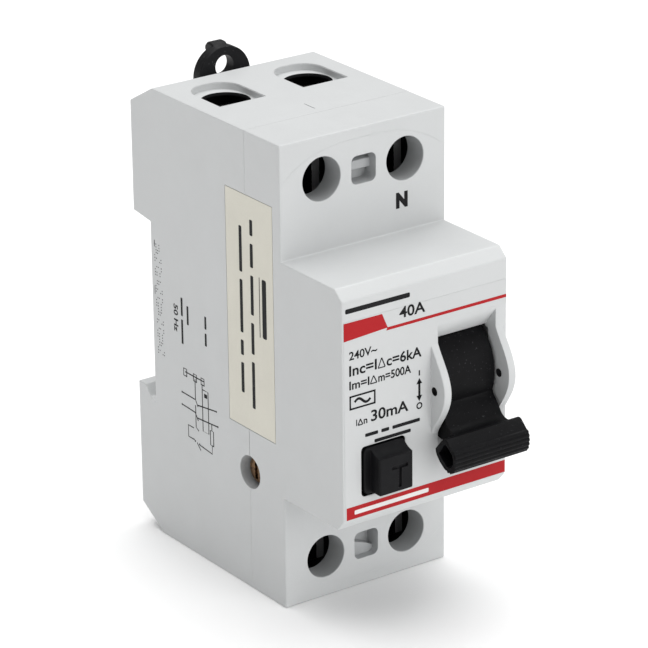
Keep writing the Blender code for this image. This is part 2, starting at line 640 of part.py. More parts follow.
def trip_relay():
    """A housing with a yoke, a coil, and a plunger that its spring drives up."""
    x, y = RELAY_X, RELAY_Y
    steel = material("relay_iron", STEEL, 0.4, 1.0)
    housing = block("relay_housing", (-15.4, -43.9, -8), (-1.4, -33.9, 13.5),
                    material("relay_blue", (0.05, 0.1, 0.2), 0.5))
    combine(housing, "DIFFERENCE", [
        block("room", (-14.4, -45, -7.2), (-2.4, -34.9, 12.6)),
        rod("plunger_hole", (x, y, 12), (x, y, 14), 1.5)])
    outline = [(-13.8, -6.9), (-4.5, -6.9), (-4.5, -5.7), (-12.6, -5.7), (-12.6, 6.4), (-4.5, 6.4),
               (-4.5, 7.6), (-13.8, 7.6)]
    yoke = prism("relay_yoke", "Y", outline, -41.6, -36.8, steel)
    combine(yoke, "DIFFERENCE", [rod("guide", (x, y, 6), (x, y, 8), 1.6)])
    coil_profile = [(3.8, 6.0), (3.8, 5.3), (3.3, 5.3), (3.3, -4.6), (3.8, -4.6), (3.8, -5.3),
                    (1.6, -5.3), (1.6, 6.0)]
    turned("relay_coil", coil_profile, material("winding_copper", COPPER, 0.4, 0.6), 20, (x, y, 0),
           closed=True)
    plunger_profile = [(0, 15.2), (0.9, 15.2), (1.15, 14.9), (1.15, 10.6), (1.9, 10.6), (1.9, 9.9),
                       (1.15, 9.9), (1.15, -3.0), (0, -3.0)]
    turned("relay_plunger", plunger_profile, steel, 16, (x, y, 0))
    coil("relay_spring", (x, y, 8.1), (x, y, 9.5), 1.7, 0.18, 3, material("spring_steel", STEEL, 0.3, 1.0))


def trip_lever():
    """The lever that the plunger lifts. Its hook stands beside the link."""
    axis = (LEVER_Y, LEVER_Z)
    finish = material("lever_black", BLACK, 0.5)
    lever = x_rod("trip_lever", *axis, -10.5, 0.8, 1.75, finish, segments=20)
    arm = [(LEVER_Y - 1.3, 20.8), (-41.0, 17.4), (-41.0, 15.7), (-37.6, 15.7), (LEVER_Y + 0.3, 18.7)]
    hook = [(-34.4, 19), (-32.7, 19), (-32.9, 13.2), (-34.9, 12.2), (-34.9, 13.6), (-34.2, 14.2)]
    combine(lever, "UNION", [prism("arm", "X", arm, -9.9, -6.9), prism("hook", "X", hook, -0.7, 0.5)])
    combine(lever, "DIFFERENCE", [x_rod("bore", *axis, -12, 3, 0.95, segments=16)])
    centre_on(lever, (0, *axis))
    x_rod("trip_lever_pin", *axis, -14.0, 2.0, 0.75, material("pin_steel", STEEL, 0.25, 1.0), segments=16)
    coil("trip_lever_spring", (-12.2, *axis), (-10.95, *axis), 1.5, 0.17, 3,
         material("spring_steel", STEEL, 0.3, 1.0))


def chassis():
    """The inner plate that backs the relay, with two posts that reach back to the base."""
    finish = material("chassis_grey", (0.25, 0.26, 0.28), 0.55)
    plate = block("mechanism_chassis", (-13.6, -46.0, -16), (-2.2, -44.6, 17.0), finish)
    posts = [block("post", (-13.5, -45, z), (-12.1, -2.1, z + 1.6)) for z in (-14.5, -11.0)]
    combine(plate, "UNION", posts)


# Core-balance transformer and conductors

def transformer():
    """The ring core in its case, with the secondary winding wound over the case."""
    grey = material("core_case", (0.04, 0.04, 0.045), 0.5)
    wall = 0.8
    case_profile = [
        (CORE_OUTER, CORE_TOP_Z), (CORE_OUTER, CORE_BOTTOM_Z), (CORE_INNER, CORE_BOTTOM_Z),
        (CORE_INNER, CORE_TOP_Z), (CORE_INNER + wall, CORE_TOP_Z), (CORE_INNER + wall, CORE_BOTTOM_Z + wall),
        (CORE_OUTER - wall, CORE_BOTTOM_Z + wall), (CORE_OUTER - wall, CORE_TOP_Z)]
    place = (0, CORE_Y, 0)
    turned("core_case", case_profile, grey, 28, place, closed=True)
    core_low, core_high = CORE_BOTTOM_Z + 1.1, CORE_TOP_Z - 0.4
    core_profile = [(10.4, core_high), (10.4, core_low), (7.3, core_low), (7.3, core_high)]
    turned("core_ring", core_profile, material("core_iron", STEEL, 0.5, 1.0), 28, place, closed=True)
    lid_low, lid_high = CORE_TOP_Z + GAP, CORE_TOP_Z + 1.1
    lid_profile = [(CORE_OUTER, lid_high), (CORE_OUTER, lid_low),
                   (CORE_INNER, lid_low), (CORE_INNER, lid_high)]
    turned("core_lid", lid_profile, grey, 28, place, closed=True)
    out = 0.65
    inner, outer = CORE_INNER - out, CORE_OUTER + out
    low, high = CORE_BOTTOM_Z - out, lid_high + out
    loop = [(inner, low + 0.5), (inner, high - 0.5), (inner + 0.5, high), (outer - 0.5, high),
            (outer, high - 0.5), (outer, low + 0.5), (outer - 0.5, low), (inner + 0.5, low)]
    turns, first, last = 9, 205, 335
    points = []
    for i in range(turns * len(loop)):
        radius, z = loop[i % len(loop)]
        angle = math.radians(first + (last - first) * i / (turns * len(loop)))
        points.append((radius * math.cos(angle), CORE_Y + radius * math.sin(angle), z))
    wire("secondary_winding", points, 0.28, material("winding_copper", COPPER, 0.4, 0.6), resolution=0)


def conductors():
    """The insulated primary conductors through the core, and the thin leads."""
    jacket = {"left": (0.25, 0.02, 0.02), "right": (0.02, 0.05, 0.2)}
    for pole, side in (("left", -1), ("right", 1)):
        points = [(side * POLE_X, -19.0, 8.5), (side * POLE_X, -18.8, 3.0), (side * 6.5, -17.0, -2.5),
                  (side * 3.2, -15.0, -6.2), (side * 2.7, CORE_Y, -9.5), (side * 2.7, CORE_Y, -20.5),
                  (side * 4.2, -14.6, -23.2), (side * 7.5, -14.8, -24.3), (side * 11.0, -14.8, -24.3)]
        wire(f"primary_conductor_{pole}", smooth_route(points, 3), 1.8,
             material(f"jacket_{pole}", jacket[pole], 0.5))
    lead = material("lead_white", (0.5, 0.5, 0.48), 0.5)
    routes = {
        "test_lead_load": [
            (-14.9, -49.2, 1.5), (-15.2, -49.0, -6), (-14.6, -42.5, -13.5), (-13.3, -36, -17.2),
            (-13.2, -30, -15.5), (-14.4, -23.5, -19), (-14.2, -20, -23.5), (-13.1, -17.9, -24.8)],
        "test_lead_line": [(-1.2, -46.6, -5.4), (-0.4, -40, -7), (0, -31, -5.5), (0, -20, -4.6), (0, -12, -4),
                           (2.5, -5.2, 2), (9.0, -4.6, 10), (POLE_X, -9, 19), (POLE_X, -16.6, 19.8)],
        "secondary_lead_a": [
            (-5.6, -27.9, -12.0), (-7.5, -31.0, -12.0), (-10.2, -36.0, -10.2), (-10.2, -38.0, -8.9)],
        "secondary_lead_b": [
            (-1.5, -27.9, -15.0), (-3.6, -31.5, -14.2), (-6.8, -36.0, -10.6), (-6.8, -38.0, -8.9)],
    }
    for name, points in routes.items():
        wire(name, smooth_route(points, 3), 0.45, lead)


# Test circuit

def test_circuit():
    """The test button with its return spring, the contact that it closes, and the resistor."""
    black = material("button_black", BLACK, 0.4)
    half = BUTTON_HALF - 0.1
    button = block("test_button", (BUTTON_X - half, FASCIA_Y, BUTTON_Z - half),
                   (BUTTON_X + half, -57.3, BUTTON_Z + half), black)
    cap = block("cap", (-12.2, CAP_FRONT_Y, -16.0), (-5.0, FASCIA_Y + 0.5, -7.55))
    flange = block("flange", (-14.6, -57.6, -17.2), (-4.0, -56.6, -6.5))
    stem = rod("stem", (BUTTON_X, -57, BUTTON_Z), (BUTTON_X, -51.5, BUTTON_Z), 2.2)
    combine(button, "UNION", [cap, flange, stem])
    combine(button, "DIFFERENCE", [
        x_rod("scoop", -63.3, -5.3, -14.5, -3, 3.75, segments=28),
        block("letter_bar", (-9.6, -64, -11.6), (-6.1, CAP_FRONT_Y + 0.35, -10.9)),
        block("letter_stem", (-8.2, -64, -15.2), (-7.5, CAP_FRONT_Y + 0.35, -11.2))])
    centre_on(button, (BUTTON_X, FASCIA_Y, BUTTON_Z))
    steel = material("spring_steel", STEEL, 0.3, 1.0)
    coil("test_button_spring", (BUTTON_X, -56.0, BUTTON_Z), (BUTTON_X, -48.5, BUTTON_Z), 2.9, 0.3, 6, steel)
    route = [(-3.0, -46.6, -4.6), (-3.0, -53.6, -4.9), (-3.6, -54.2, -6.0), (-5.3, -54.2, -9.0)]
    wire("test_contact_wire", route, 0.4, steel, resolution=1)
    profile = [(0, 5.2), (0.35, 5.2), (0.35, 4.2), (1.7, 4.0), (1.7, 3.0), (1.45, 2.7), (1.45, -2.7),
               (1.7, -3.0), (1.7, -4.0), (0.35, -4.2), (0.35, -5.2), (0, -5.2)]
    resistor = turned("test_resistor", profile, material("resistor_body", (0.45, 0.3, 0.15), 0.5), 16,
                      (-9.3, -49.2, 1.5))
    resistor.rotation_euler = (0, math.pi / 2, 0)


def build():
    clear_scene()
    rear_base()
    front_cover()
    tie_rivets()
    front_label()
    side_sticker()
    din_clip()
    toggle_link(toggle())
    contact_carrier()
    contacts_and_terminals()
    trip_relay()
    trip_lever()
    chassis()
    transformer()
    conductors()
    test_circuit()
    bpy.context.view_layer.update()


build()
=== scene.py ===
"""Looks for the two-pole residual current device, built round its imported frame.

Sizes are written in millimetres and turned into metres by MM. The frame's axes hold: +X is
the device's right, its front faces -Y, +Z is up, and the origin is on the rail seat.
"""
import math

import bmesh
import bpy
from mathutils import Matrix, Vector


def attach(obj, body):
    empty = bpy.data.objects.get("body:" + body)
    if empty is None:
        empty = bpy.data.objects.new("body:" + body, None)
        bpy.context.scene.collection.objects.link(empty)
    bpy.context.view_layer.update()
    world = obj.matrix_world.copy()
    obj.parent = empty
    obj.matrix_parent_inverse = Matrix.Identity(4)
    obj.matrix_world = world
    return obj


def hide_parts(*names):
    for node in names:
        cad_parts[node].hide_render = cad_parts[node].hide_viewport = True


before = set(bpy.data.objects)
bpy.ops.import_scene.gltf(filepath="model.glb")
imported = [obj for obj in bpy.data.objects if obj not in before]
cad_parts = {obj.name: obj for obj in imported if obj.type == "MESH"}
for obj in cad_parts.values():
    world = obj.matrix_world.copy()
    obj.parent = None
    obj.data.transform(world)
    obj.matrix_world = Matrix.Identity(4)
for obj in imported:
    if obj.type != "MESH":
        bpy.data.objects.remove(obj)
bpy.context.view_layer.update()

MM = 0.001
HALF_W = 17.97          # the visible shell stops just inside the CAD's 18
HALF_H = 44.148
SHOULDER_Y = -42.15
FASCIA_Y = -60.11
LABEL_Y = -60.15
SPLIT_Y = -31.4
SPLIT_GAP = 0.02
BACK_Y = 5.2
POLE_X = 9.05
TERMINAL_Z = 36.25
PIVOT = (-50.8, 0.0)
OFF_ANGLE = -37.0
BUTTON = (-9.3, -11.85)
WINDOW = (2.7, 15.5)
RIVET_ZS = {"lower": -21.0, "upper": 24.5}
RIVET_HOLE = 3.1
BORE_Y = -12.7
BORE_RADIUS = 4.5
ACCESS_RADIUS = 4.05
ACCESS_LIP = 0.11
CAVITY_HALF = 16.2      # the hollow inside both halves of the case
ROOM_HALF = 5.5
ROOM_HALF_FRONT = 7.1
CHEEK_FOOT = -60.0
CHEEK_RISE = 4.05
CHEEK_Z = -0.1
CHEEK_HALF = 8.9
CHEEK_FULLNESS = 1.3
DRUM_RADIUS = 9.93
DRUM_X = (3.0, 15.0)
GRIP_X = (0.6, 17.2)
CRANK = (-54.966, 1.7)
RIB_PITCH = 0.86
RIB_DEPTH = 0.24
SCREW_TOP = -33.2
THREAD_PITCH = 0.8
THREAD_RADIUS = 2.4
THREAD_ROOT = 2.05
INK_LIFT = 0.012
INK_SINK = 0.01
SEGMENTS_FINE = 72


# ---------------------------------------------------------------- materials

def noise(tree, coords, scale, detail=3.0, rough=0.55):
    node = tree.nodes.new("ShaderNodeTexNoise")
    node.inputs["Scale"].default_value = scale
    node.inputs["Detail"].default_value = detail
    node.inputs["Roughness"].default_value = rough
    tree.links.new(coords, node.inputs["Vector"])
    return node.outputs["Fac"]


def ramp(tree, fac, *stops):
    """A colour ramp: (position, colour) stops, where a number stands for a grey."""
    node = tree.nodes.new("ShaderNodeValToRGB")
    for element, (place, colour) in zip(node.color_ramp.elements, stops):
        element.position = place
        element.color = (*(colour if isinstance(colour, tuple) else (colour,) * 3), 1)
    tree.links.new(fac, node.inputs["Fac"])
    return node.outputs["Color"]


def spread_over(tree, fac, low, high):
    node = tree.nodes.new("ShaderNodeMapRange")
    node.inputs["From Min"].default_value = 0.25
    node.inputs["From Max"].default_value = 0.75
    node.inputs["To Min"].default_value = low
    node.inputs["To Max"].default_value = high
    tree.links.new(fac, node.inputs["Value"])
    return node.outputs["Result"]


def blend(tree, kind, factor, one, two):
    """Mixes two colours; a factor or a second colour may be a plain value."""
    node = tree.nodes.new("ShaderNodeMix")
    node.data_type = "RGBA"
    node.blend_type = kind
    for socket, value in ((node.inputs[0], factor), (node.inputs[6], one), (node.inputs[7], two)):
        if isinstance(value, bpy.types.NodeSocket):
            tree.links.new(value, socket)
        else:
            socket.default_value = (*value, 1) if isinstance(value, tuple) else value
    return node.outputs[2]


def edge_mask(tree, coords, radius, patchy):
    """White where a corner is near, broken up by noise: where handling wears a piece, and where a
    painted edge highlight goes.
    """
    bevel = tree.nodes.new("ShaderNodeBevel")
    bevel.samples = 4
    bevel.inputs["Radius"].default_value = radius * MM
    plain = tree.nodes.new("ShaderNodeNewGeometry")
    dot = tree.nodes.new("ShaderNodeVectorMath")
    dot.operation = "DOT_PRODUCT"
    tree.links.new(bevel.outputs["Normal"], dot.inputs[0])
    tree.links.new(plain.outputs["Normal"], dot.inputs[1])
    edges = ramp(tree, dot.outputs["Value"], (0.86, 1.0), (0.985, 0.0))
    patches = ramp(tree, noise(tree, coords, patchy, 3.0), (0.42, 0.15), (0.62, 1.0))
    return blend(tree, "MULTIPLY", 1.0, edges, patches), bevel.outputs["Normal"]


def finish_of(name, colour, rough, metallic=0.0, drift=0.04, patch=90, grain=2500, depth=0.006,
              rough_drift=0.06, specular=0.5, coat=0.0, stretch=None, wear_and_sheen=None, wear_and_sheen_amount=0.5,
              corner=0.15, specks=None):
    """A moulded, printed, paper or metal finish.

    Broad colour drift, fine grain with bump, uneven roughness, and corners painted toward a corner
    colour: partly wear, partly a painted edge highlight. patch and grain are noise scales per metre.
    stretch squeezes the grain along an axis, as drawing or brushing does. The corner colour argument
    is the colour of those corners. specks adds sparse dots of a colour.
    """
    made = bpy.data.materials.new(name)
    made.use_nodes = True
    tree = made.node_tree
    tree.nodes.clear()
    out = tree.nodes.new("ShaderNodeOutputMaterial")
    shader = tree.nodes.new("ShaderNodeBsdfPrincipled")
    tree.links.new(shader.outputs["BSDF"], out.inputs["Surface"])
    shader.inputs["Metallic"].default_value = metallic
    shader.inputs["Specular IOR Level"].default_value = specular
    shader.inputs["Coat Weight"].default_value = coat
    coords = fine = tree.nodes.new("ShaderNodeTexCoord").outputs["Object"]
    if stretch:
        mapping = tree.nodes.new("ShaderNodeMapping")
        mapping.inputs["Scale"].default_value = stretch
        tree.links.new(coords, mapping.inputs["Vector"])
        fine = mapping.outputs["Vector"]
    grainy = noise(tree, fine, grain, 2.0, 0.6)
    shade = ramp(tree, noise(tree, coords, patch, 4.0), (0.3, tuple(c * (1 - drift) for c in colour)),
                 (0.7, tuple(min(1.0, c * (1 + drift)) for c in colour)))
    shade = blend(tree, "MULTIPLY", 1.0, shade, ramp(tree, grainy, (0.3, 1 - drift * 0.7), (0.7, 1.0)))
    if specks:
        dots = ramp(tree, noise(tree, coords, specks[1], 1.0), (specks[2], 0.0),
                    (specks[2] + 0.03, 1.0))
        shade = blend(tree, "MIX", dots, shade, specks[0])
    worn_and_sheen, corner_normal = edge_mask(tree, coords, corner, patch * 6)
    # Corners painted toward the corner colour: partly wear, partly a painted edge highlight.
    if wear_and_sheen:
        wear_and_sheen_weight = blend(tree, "MULTIPLY", 1.0, worn_and_sheen, (wear_and_sheen_amount,) * 3)
        shade = blend(tree, "MIX", wear_and_sheen_weight, shade, wear_and_sheen)
    tree.links.new(shade, shader.inputs["Base Color"])
    uneven = noise(tree, coords, patch * 3, 3.0)
    tree.links.new(spread_over(tree, uneven, rough - rough_drift, rough + rough_drift),
                   shader.inputs["Roughness"])
    bump = tree.nodes.new("ShaderNodeBump")
    bump.inputs["Strength"].default_value = 0.35
    bump.inputs["Distance"].default_value = depth * MM
    tree.links.new(grainy, bump.inputs["Height"])
    tree.links.new(corner_normal, bump.inputs["Normal"])
    tree.links.new(bump.outputs["Normal"], shader.inputs["Normal"])
    return made


SHELL_GREY = (0.560, 0.571, 0.573)
SHELL = finish_of("shell_grey", SHELL_GREY, 0.42, drift=0.015, grain=1800, depth=0.012,
                  wear_and_sheen=(0.72, 0.73, 0.735))
# The shell's own plastic painted darker for the walls of holes, slots, bosses and the inner cavity:
# painted shade.
SHADED_HOLE_GREY = finish_of("shell_painted_hole_shade", (0.42, 0.43, 0.435), 0.55, drift=0.03, grain=1800, depth=0.01)
# Near-black for the insides of terminal rooms, wire bores, the seal hole and the button hole: painted
# shade, not the plastic's colour.
PAINTED_DEPTH_SHADE = finish_of("shell_painted_depth_shade", (0.012, 0.012, 0.013), 0.7, drift=0.1, grain=1800, specular=0.1)
LABEL = finish_of("label_film", (0.55, 0.56, 0.562), 0.36, drift=0.012, grain=1200, depth=0.004,
                  corner=0.03)
STICKER = finish_of("sticker_paper", (0.70, 0.68, 0.60), 0.68, drift=0.03, grain=2600, depth=0.01,
                    specular=0.2,
                    wear_and_sheen=(0.62, 0.58, 0.48), corner=0.05)
RED_INK = finish_of("red_ink", (0.40, 0.010, 0.014), 0.42, drift=0.05, grain=3000, depth=0.003,
                    specular=0.15, corner=0.02)
BLACK_INK = finish_of("black_ink", (0.010, 0.010, 0.011), 0.5, drift=0.2, grain=3000, depth=0.003,
                      specular=0.12, corner=0.01)
WHITE_INK = finish_of("white_ink", (0.75, 0.72, 0.71), 0.45, drift=0.03, grain=3000, depth=0.003,
                      corner=0.01)
GREY_INK = finish_of("grey_ink", (0.05, 0.05, 0.055), 0.5, drift=0.25, grain=3000, depth=0.003,
                     specular=0.15, corner=0.01)
DRUM = finish_of("toggle_black", (0.0045, 0.0045, 0.0052), 0.46, drift=0.2, patch=160, grain=5200,
                 depth=0.03,
                 rough_drift=0.1, specular=0.09, specks=((0.03, 0.03, 0.032), 2600, 0.70),
                 wear_and_sheen=(0.045, 0.045, 0.047), wear_and_sheen_amount=0.45)
BUTTON_BLACK = finish_of("button_black", (0.006, 0.006, 0.007), 0.48, drift=0.15, patch=200,
                         grain=4200, depth=0.02,
                   rough_drift=0.1, specular=0.11, wear_and_sheen=(0.04, 0.04, 0.042), wear_and_sheen_amount=0.5)
CLIP = finish_of("clip_black", (0.006, 0.006, 0.007), 0.4, drift=0.2, patch=180, grain=3600, depth=0.02,
                 rough_drift=0.12, specular=0.15, wear_and_sheen=(0.06, 0.06, 0.062),
                 specks=((0.05, 0.05, 0.05), 1900, 0.72))
DARK = finish_of("dark_plastic", (0.035, 0.035, 0.038), 0.5, drift=0.12, patch=150, grain=3600,
                 depth=0.01, wear_and_sheen=(0.08, 0.08, 0.08))
CHASSIS = finish_of("chassis_plastic", (0.25, 0.26, 0.28), 0.55, drift=0.06, patch=120, grain=2400,
                    depth=0.01, wear_and_sheen=(0.34, 0.35, 0.37))
BLUE = finish_of("relay_plastic", (0.05, 0.10, 0.20), 0.48, drift=0.08, patch=140, grain=2400,
                 depth=0.01, wear_and_sheen=(0.12, 0.19, 0.32))
ZINC = finish_of("zinc_steel", (0.50, 0.50, 0.49), 0.36, 1.0, drift=0.07, patch=260, grain=3000,
                 rough_drift=0.09,
                 stretch=(1, 1, 0.12), wear_and_sheen=(0.68, 0.68, 0.67))
# Terminal screws painted near-black: painted shade standing for the darkness deep in the access holes.
SCREW_PAINTED_SHADE = finish_of("screw_painted_shade", (0.022, 0.021, 0.02), 0.55, 0.4, drift=0.12, patch=300,
                  grain=3200,
                  rough_drift=0.1, specular=0.15, wear_and_sheen=(0.05, 0.048, 0.046))
SPRING = finish_of("spring_wire", (0.48, 0.48, 0.49), 0.28, 1.0, drift=0.06, patch=400, grain=5000,
                   depth=0.004, corner=0.03)
BRASS = finish_of("rivet_brass", (0.20, 0.12, 0.065), 0.42, 1.0, drift=0.25, patch=420, grain=4200,
                  depth=0.012,
                  rough_drift=0.12, wear_and_sheen=(0.42, 0.29, 0.16), specks=((0.05, 0.03, 0.02), 1500, 0.6))
COPPER = finish_of("copper", (0.72, 0.36, 0.20), 0.34, 1.0, drift=0.08, patch=220, grain=3000,
                   stretch=(0.15, 1, 1),
                   wear_and_sheen=(0.82, 0.48, 0.30))
WINDING = finish_of("winding_enamel", (0.42, 0.17, 0.06), 0.3, 0.6, drift=0.1, patch=300, grain=4000,
                    depth=0.004, coat=0.4)
SILVER = finish_of("contact_silver", (0.78, 0.77, 0.74), 0.3, 1.0, drift=0.06, patch=320, grain=4000,
                   depth=0.005,
                   wear_and_sheen=(0.6, 0.58, 0.54))
RED_JACKET = finish_of("red_jacket", (0.28, 0.02, 0.02), 0.5, drift=0.06, patch=200, grain=2600,
                       depth=0.01)
BLUE_JACKET = finish_of("blue_jacket", (0.02, 0.05, 0.22), 0.5, drift=0.06, patch=200, grain=2600,
                        depth=0.01)
LEAD = finish_of("lead_jacket", (0.52, 0.52, 0.49), 0.5, drift=0.05, patch=260, grain=2600, depth=0.008)
RESISTOR = finish_of("resistor_lacquer", (0.45, 0.30, 0.15), 0.4, drift=0.08, patch=300, grain=3000,
                     wear_and_sheen=(0.6, 0.45, 0.3))


# ---------------------------------------------------------------- shapes

def link(name, mesh, finish):
    made = bpy.data.objects.new(name, mesh)
    bpy.context.scene.collection.objects.link(made)
    for one in finish if isinstance(finish, (list, tuple)) else [finish]:
        mesh.materials.append(one)
    return made


def to_object(name, bm, finish, smooth=30):
    """A bmesh in millimetres becomes an object in metres."""
    bmesh.ops.scale(bm, vec=(MM,) * 3, verts=bm.verts)
    bmesh.ops.recalc_face_normals(bm, faces=bm.faces)
    mesh = bpy.data.meshes.new(name)
    bm.to_mesh(mesh)
    bm.free()
    mesh.shade_smooth()
    mesh.set_sharp_from_angle(angle=math.radians(smooth))
    return link(name, mesh, finish)


AXES = {"X": lambda a, b, h: (h, a, b), "Y": lambda a, b, h: (a, h, b), "Z": lambda a, b, h: (a, b, h)}


def extruded(bm, axis, outline, low, high):
    """Adds a flat outline pushed along an axis: (y, z), (x, z) or (x, y) points."""
    place = AXES[axis]
    rings = [[bm.verts.new(place(a, b, h)) for a, b in outline] for h in (low, high)]
    bm.faces.new(rings[0])
    bm.faces.new(list(reversed(rings[1])))
    count = len(outline)
    for i in range(count):
        j = (i + 1) % count
        bm.faces.new((rings[0][j], rings[0][i], rings[1][i], rings[1][j]))
    return rings


def prism(name, axis, outline, low, high, finish=None, bevel=0.0, segments=2, angle=25, crisp=None):
    """An outline pushed along an axis. Edges are rounded, but not those that crisp picks."""
    bm = bmesh.new()
    extruded(bm, axis, outline, low, high)
    bmesh.ops.recalc_face_normals(bm, faces=bm.faces)
    if bevel:
        edges = [e for e in bm.edges if e.calc_face_angle(0) > math.radians(angle)
                 and not (crisp and all(crisp(v.co) for v in e.verts))]
        bmesh.ops.bevel(bm, geom=edges, offset=bevel, segments=segments, profile=0.5,
                        affect="EDGES", clamp_overlap=True)
    return to_object(name, bm, finish or SHELL)


def block(name, low, high, finish=None, bevel=0.0, segments=2):
    outline = [(low[1], low[2]), (high[1], low[2]), (high[1], high[2]), (low[1], high[2])]
    return prism(name, "X", outline, low[0], high[0], finish, bevel, segments)


def circle(centre, radius, steps=48, start=0.0, end=360.0):
    full = abs(end - start) >= 360
    count = steps if full else steps + 1
    return [(centre[0] + radius * math.cos(math.radians(start + (end - start) * i / steps)),
             centre[1] + radius * math.sin(math.radians(start + (end - start) * i / steps)))
            for i in range(count)]


def lathe(name, axis, centre, profile, finish, steps=48, smooth=40):
    """A turned solid: (radius, height) points, turned about an axis through centre."""
    bm = bmesh.new()
    rings = []
    for radius, height in profile:
        if radius < 1e-6:
            rings.append([bm.verts.new((0, 0, height))])
        else:
            rings.append([bm.verts.new((radius * math.cos(math.tau * i / steps),
                                        radius * math.sin(math.tau * i / steps), height))
                          for i in range(steps)])
    for one, two in zip(rings, rings[1:]):
        for i in range(steps):
            j = (i + 1) % steps
            corners = [one[i % len(one)], one[j % len(one)], two[j % len(two)], two[i % len(two)]]
            kept = [c for n, c in enumerate(corners) if c not in corners[:n]]
            if len(kept) > 2:
                bm.faces.new(kept)
    for ring in (rings[0], rings[-1]):
        if len(ring) > 1:
            bm.faces.new(ring)
    turn = {"Z": Matrix.Identity(4), "X": Matrix.Rotation(math.pi / 2, 4, "Y"),
            "Y": Matrix.Rotation(-math.pi / 2, 4, "X")}[axis]
    bmesh.ops.transform(bm, matrix=Matrix.Translation(centre) @ turn, verts=bm.verts)
    return to_object(name, bm, finish, smooth)


def evaluated_mesh(made):
    graph = bpy.context.evaluated_depsgraph_get()
    return bpy.data.meshes.new_from_object(made.evaluated_get(graph), preserve_all_data_layers=True,
                                           depsgraph=graph)


def boolean(target, operation, *tools):
    """Applies one Boolean after another, and takes the tools away."""
    for tool in tools:
        modifier = target.modifiers.new("b", "BOOLEAN")
        modifier.operation = operation
        modifier.object = tool
        modifier.solver = "EXACT"
        modifier.material_mode = "TRANSFER"
    bpy.context.view_layer.update()
    mesh = evaluated_mesh(target)
    target.modifiers.clear()
    old = target.data
    target.data = mesh
    bpy.data.meshes.remove(old)
    for tool in tools:
        bpy.data.objects.remove(tool, do_unlink=True)
    return target


def even_normals(target, angle=40):
    """Smooth shading that keeps large flat faces flat."""
    target.data.shade_smooth()
    target.data.set_sharp_from_angle(angle=math.radians(angle))
    modifier = target.modifiers.new("n", "WEIGHTED_NORMAL")
    modifier.keep_sharp = True
    modifier.weight = 90
    bpy.context.view_layer.update()
    mesh = evaluated_mesh(target)
    target.modifiers.clear()
    target.data = mesh
    return target


def joined(name, objects):
    """One object from several that ride together."""
    bm = bmesh.new()
    finishes = []
    for one in objects:
        part = bmesh.new()
        part.from_mesh(one.data)
        part.transform(one.matrix_world)
        index = []
        for m in one.data.materials:
            if m not in finishes:
                finishes.append(m)
            index.append(finishes.index(m))
        for face in part.faces:
            face.material_index = index[face.material_index] if index else 0
        mesh = bpy.data.meshes.new("tmp")
        part.to_mesh(mesh)
        part.free()
        bm.from_mesh(mesh)
        bpy.data.meshes.remove(mesh)
    mesh = bpy.data.meshes.new(name)
    bm.to_mesh(mesh)
    bm.free()
    for one in objects:
        bpy.data.objects.remove(one, do_unlink=True)
    return link(name, mesh, finishes)


def text(words, box, face, finish, bold=0.0, lie=0.0, place=LABEL_Y + 0.02, thick=0.03):
    """Lettering as thin solid shapes, stretched to fill a box (x0, z0, x1, z1) on a face.

    face is FRONT or LEFT; on LEFT the box is (y0, z0, y1, z1) and the words may lie along -Z.
    """
    curve = bpy.data.curves.new("words", "FONT")
    curve.body = words
    curve.extrude = thick / 2
    curve.offset = bold / (box[3] - box[1] if not lie else abs(box[2] - box[0])) * 0.7
    curve.resolution_u = 4
    drawn = bpy.data.objects.new("words", curve)
    bpy.context.scene.collection.objects.link(drawn)
    bpy.context.view_layer.update()
    mesh = evaluated_mesh(drawn)
    bpy.data.objects.remove(drawn, do_unlink=True)
    low = [min(v.co[i] for v in mesh.vertices) for i in range(2)]
    high = [max(v.co[i] for v in mesh.vertices) for i in range(2)]
    for vertex in mesh.vertices:
        u, v, w = vertex.co
        u, v = (u - low[0]) / (high[0] - low[0]), (v - low[1]) / (high[1] - low[1])
        if lie:
            u, v = 1 - v, 1 - u
        across, up = box[0] + u * (box[2] - box[0]), box[1] + v * (box[3] - box[1])
        vertex.co = ((across, place - w, up) if face == "FRONT" else (place - w, across, up))
    bm = bmesh.new()
    bm.from_mesh(mesh)
    bmesh.ops.scale(bm, vec=(MM, MM, MM), verts=bm.verts)
    bmesh.ops.recalc_face_normals(bm, faces=bm.faces)
    bm.to_mesh(mesh)
    bm.free()
    mesh.materials.clear()
    return link("words", mesh, finish)


def stroke(points, half):
    """The outline of a line of even width through 2D points."""
    left, right = [], []
    count = len(points)
    for i, point in enumerate(points):
        before = Vector(points[max(i - 1, 0)])
        after = Vector(points[min(i + 1, count - 1)])
        along = (after - before).normalized()
        across = Vector((-along.y, along.x)) * half
        left.append(tuple(Vector(point) + across))
        right.append(tuple(Vector(point) - across))
    return left + right[::-1]


def place_on(piece, body, *nodes, slot=None):
    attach(piece, body)
    if nodes:
        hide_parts(*nodes)
    return piece


def arm(points, degrees=OFF_ANGLE, centre=PIVOT):
    """Side-view points from (distance out, distance across) on the toggle's arm."""
    angle = math.radians(degrees)
    out = (-math.cos(angle), math.sin(angle))
    across = (math.sin(angle), math.cos(angle))
    return [(centre[0] + r * out[0] + t * across[0], centre[1] + r * out[1] + t * across[1]) for r,
            t in points]


def span(a, b):
    return min(a, b), max(a, b)


# ---------------------------------------------------------------- housing

def rounded_square(centre, half, corner, steps=6):
    points = []
    for sx, sz, start in ((1, -1, 270), (1, 1, 0), (-1, 1, 90), (-1, -1, 180)):
        middle = (centre[0] + sx * (half - corner), centre[1] + sz * (half - corner))
        points += circle(middle, corner, steps, start, start + 90)
    return points


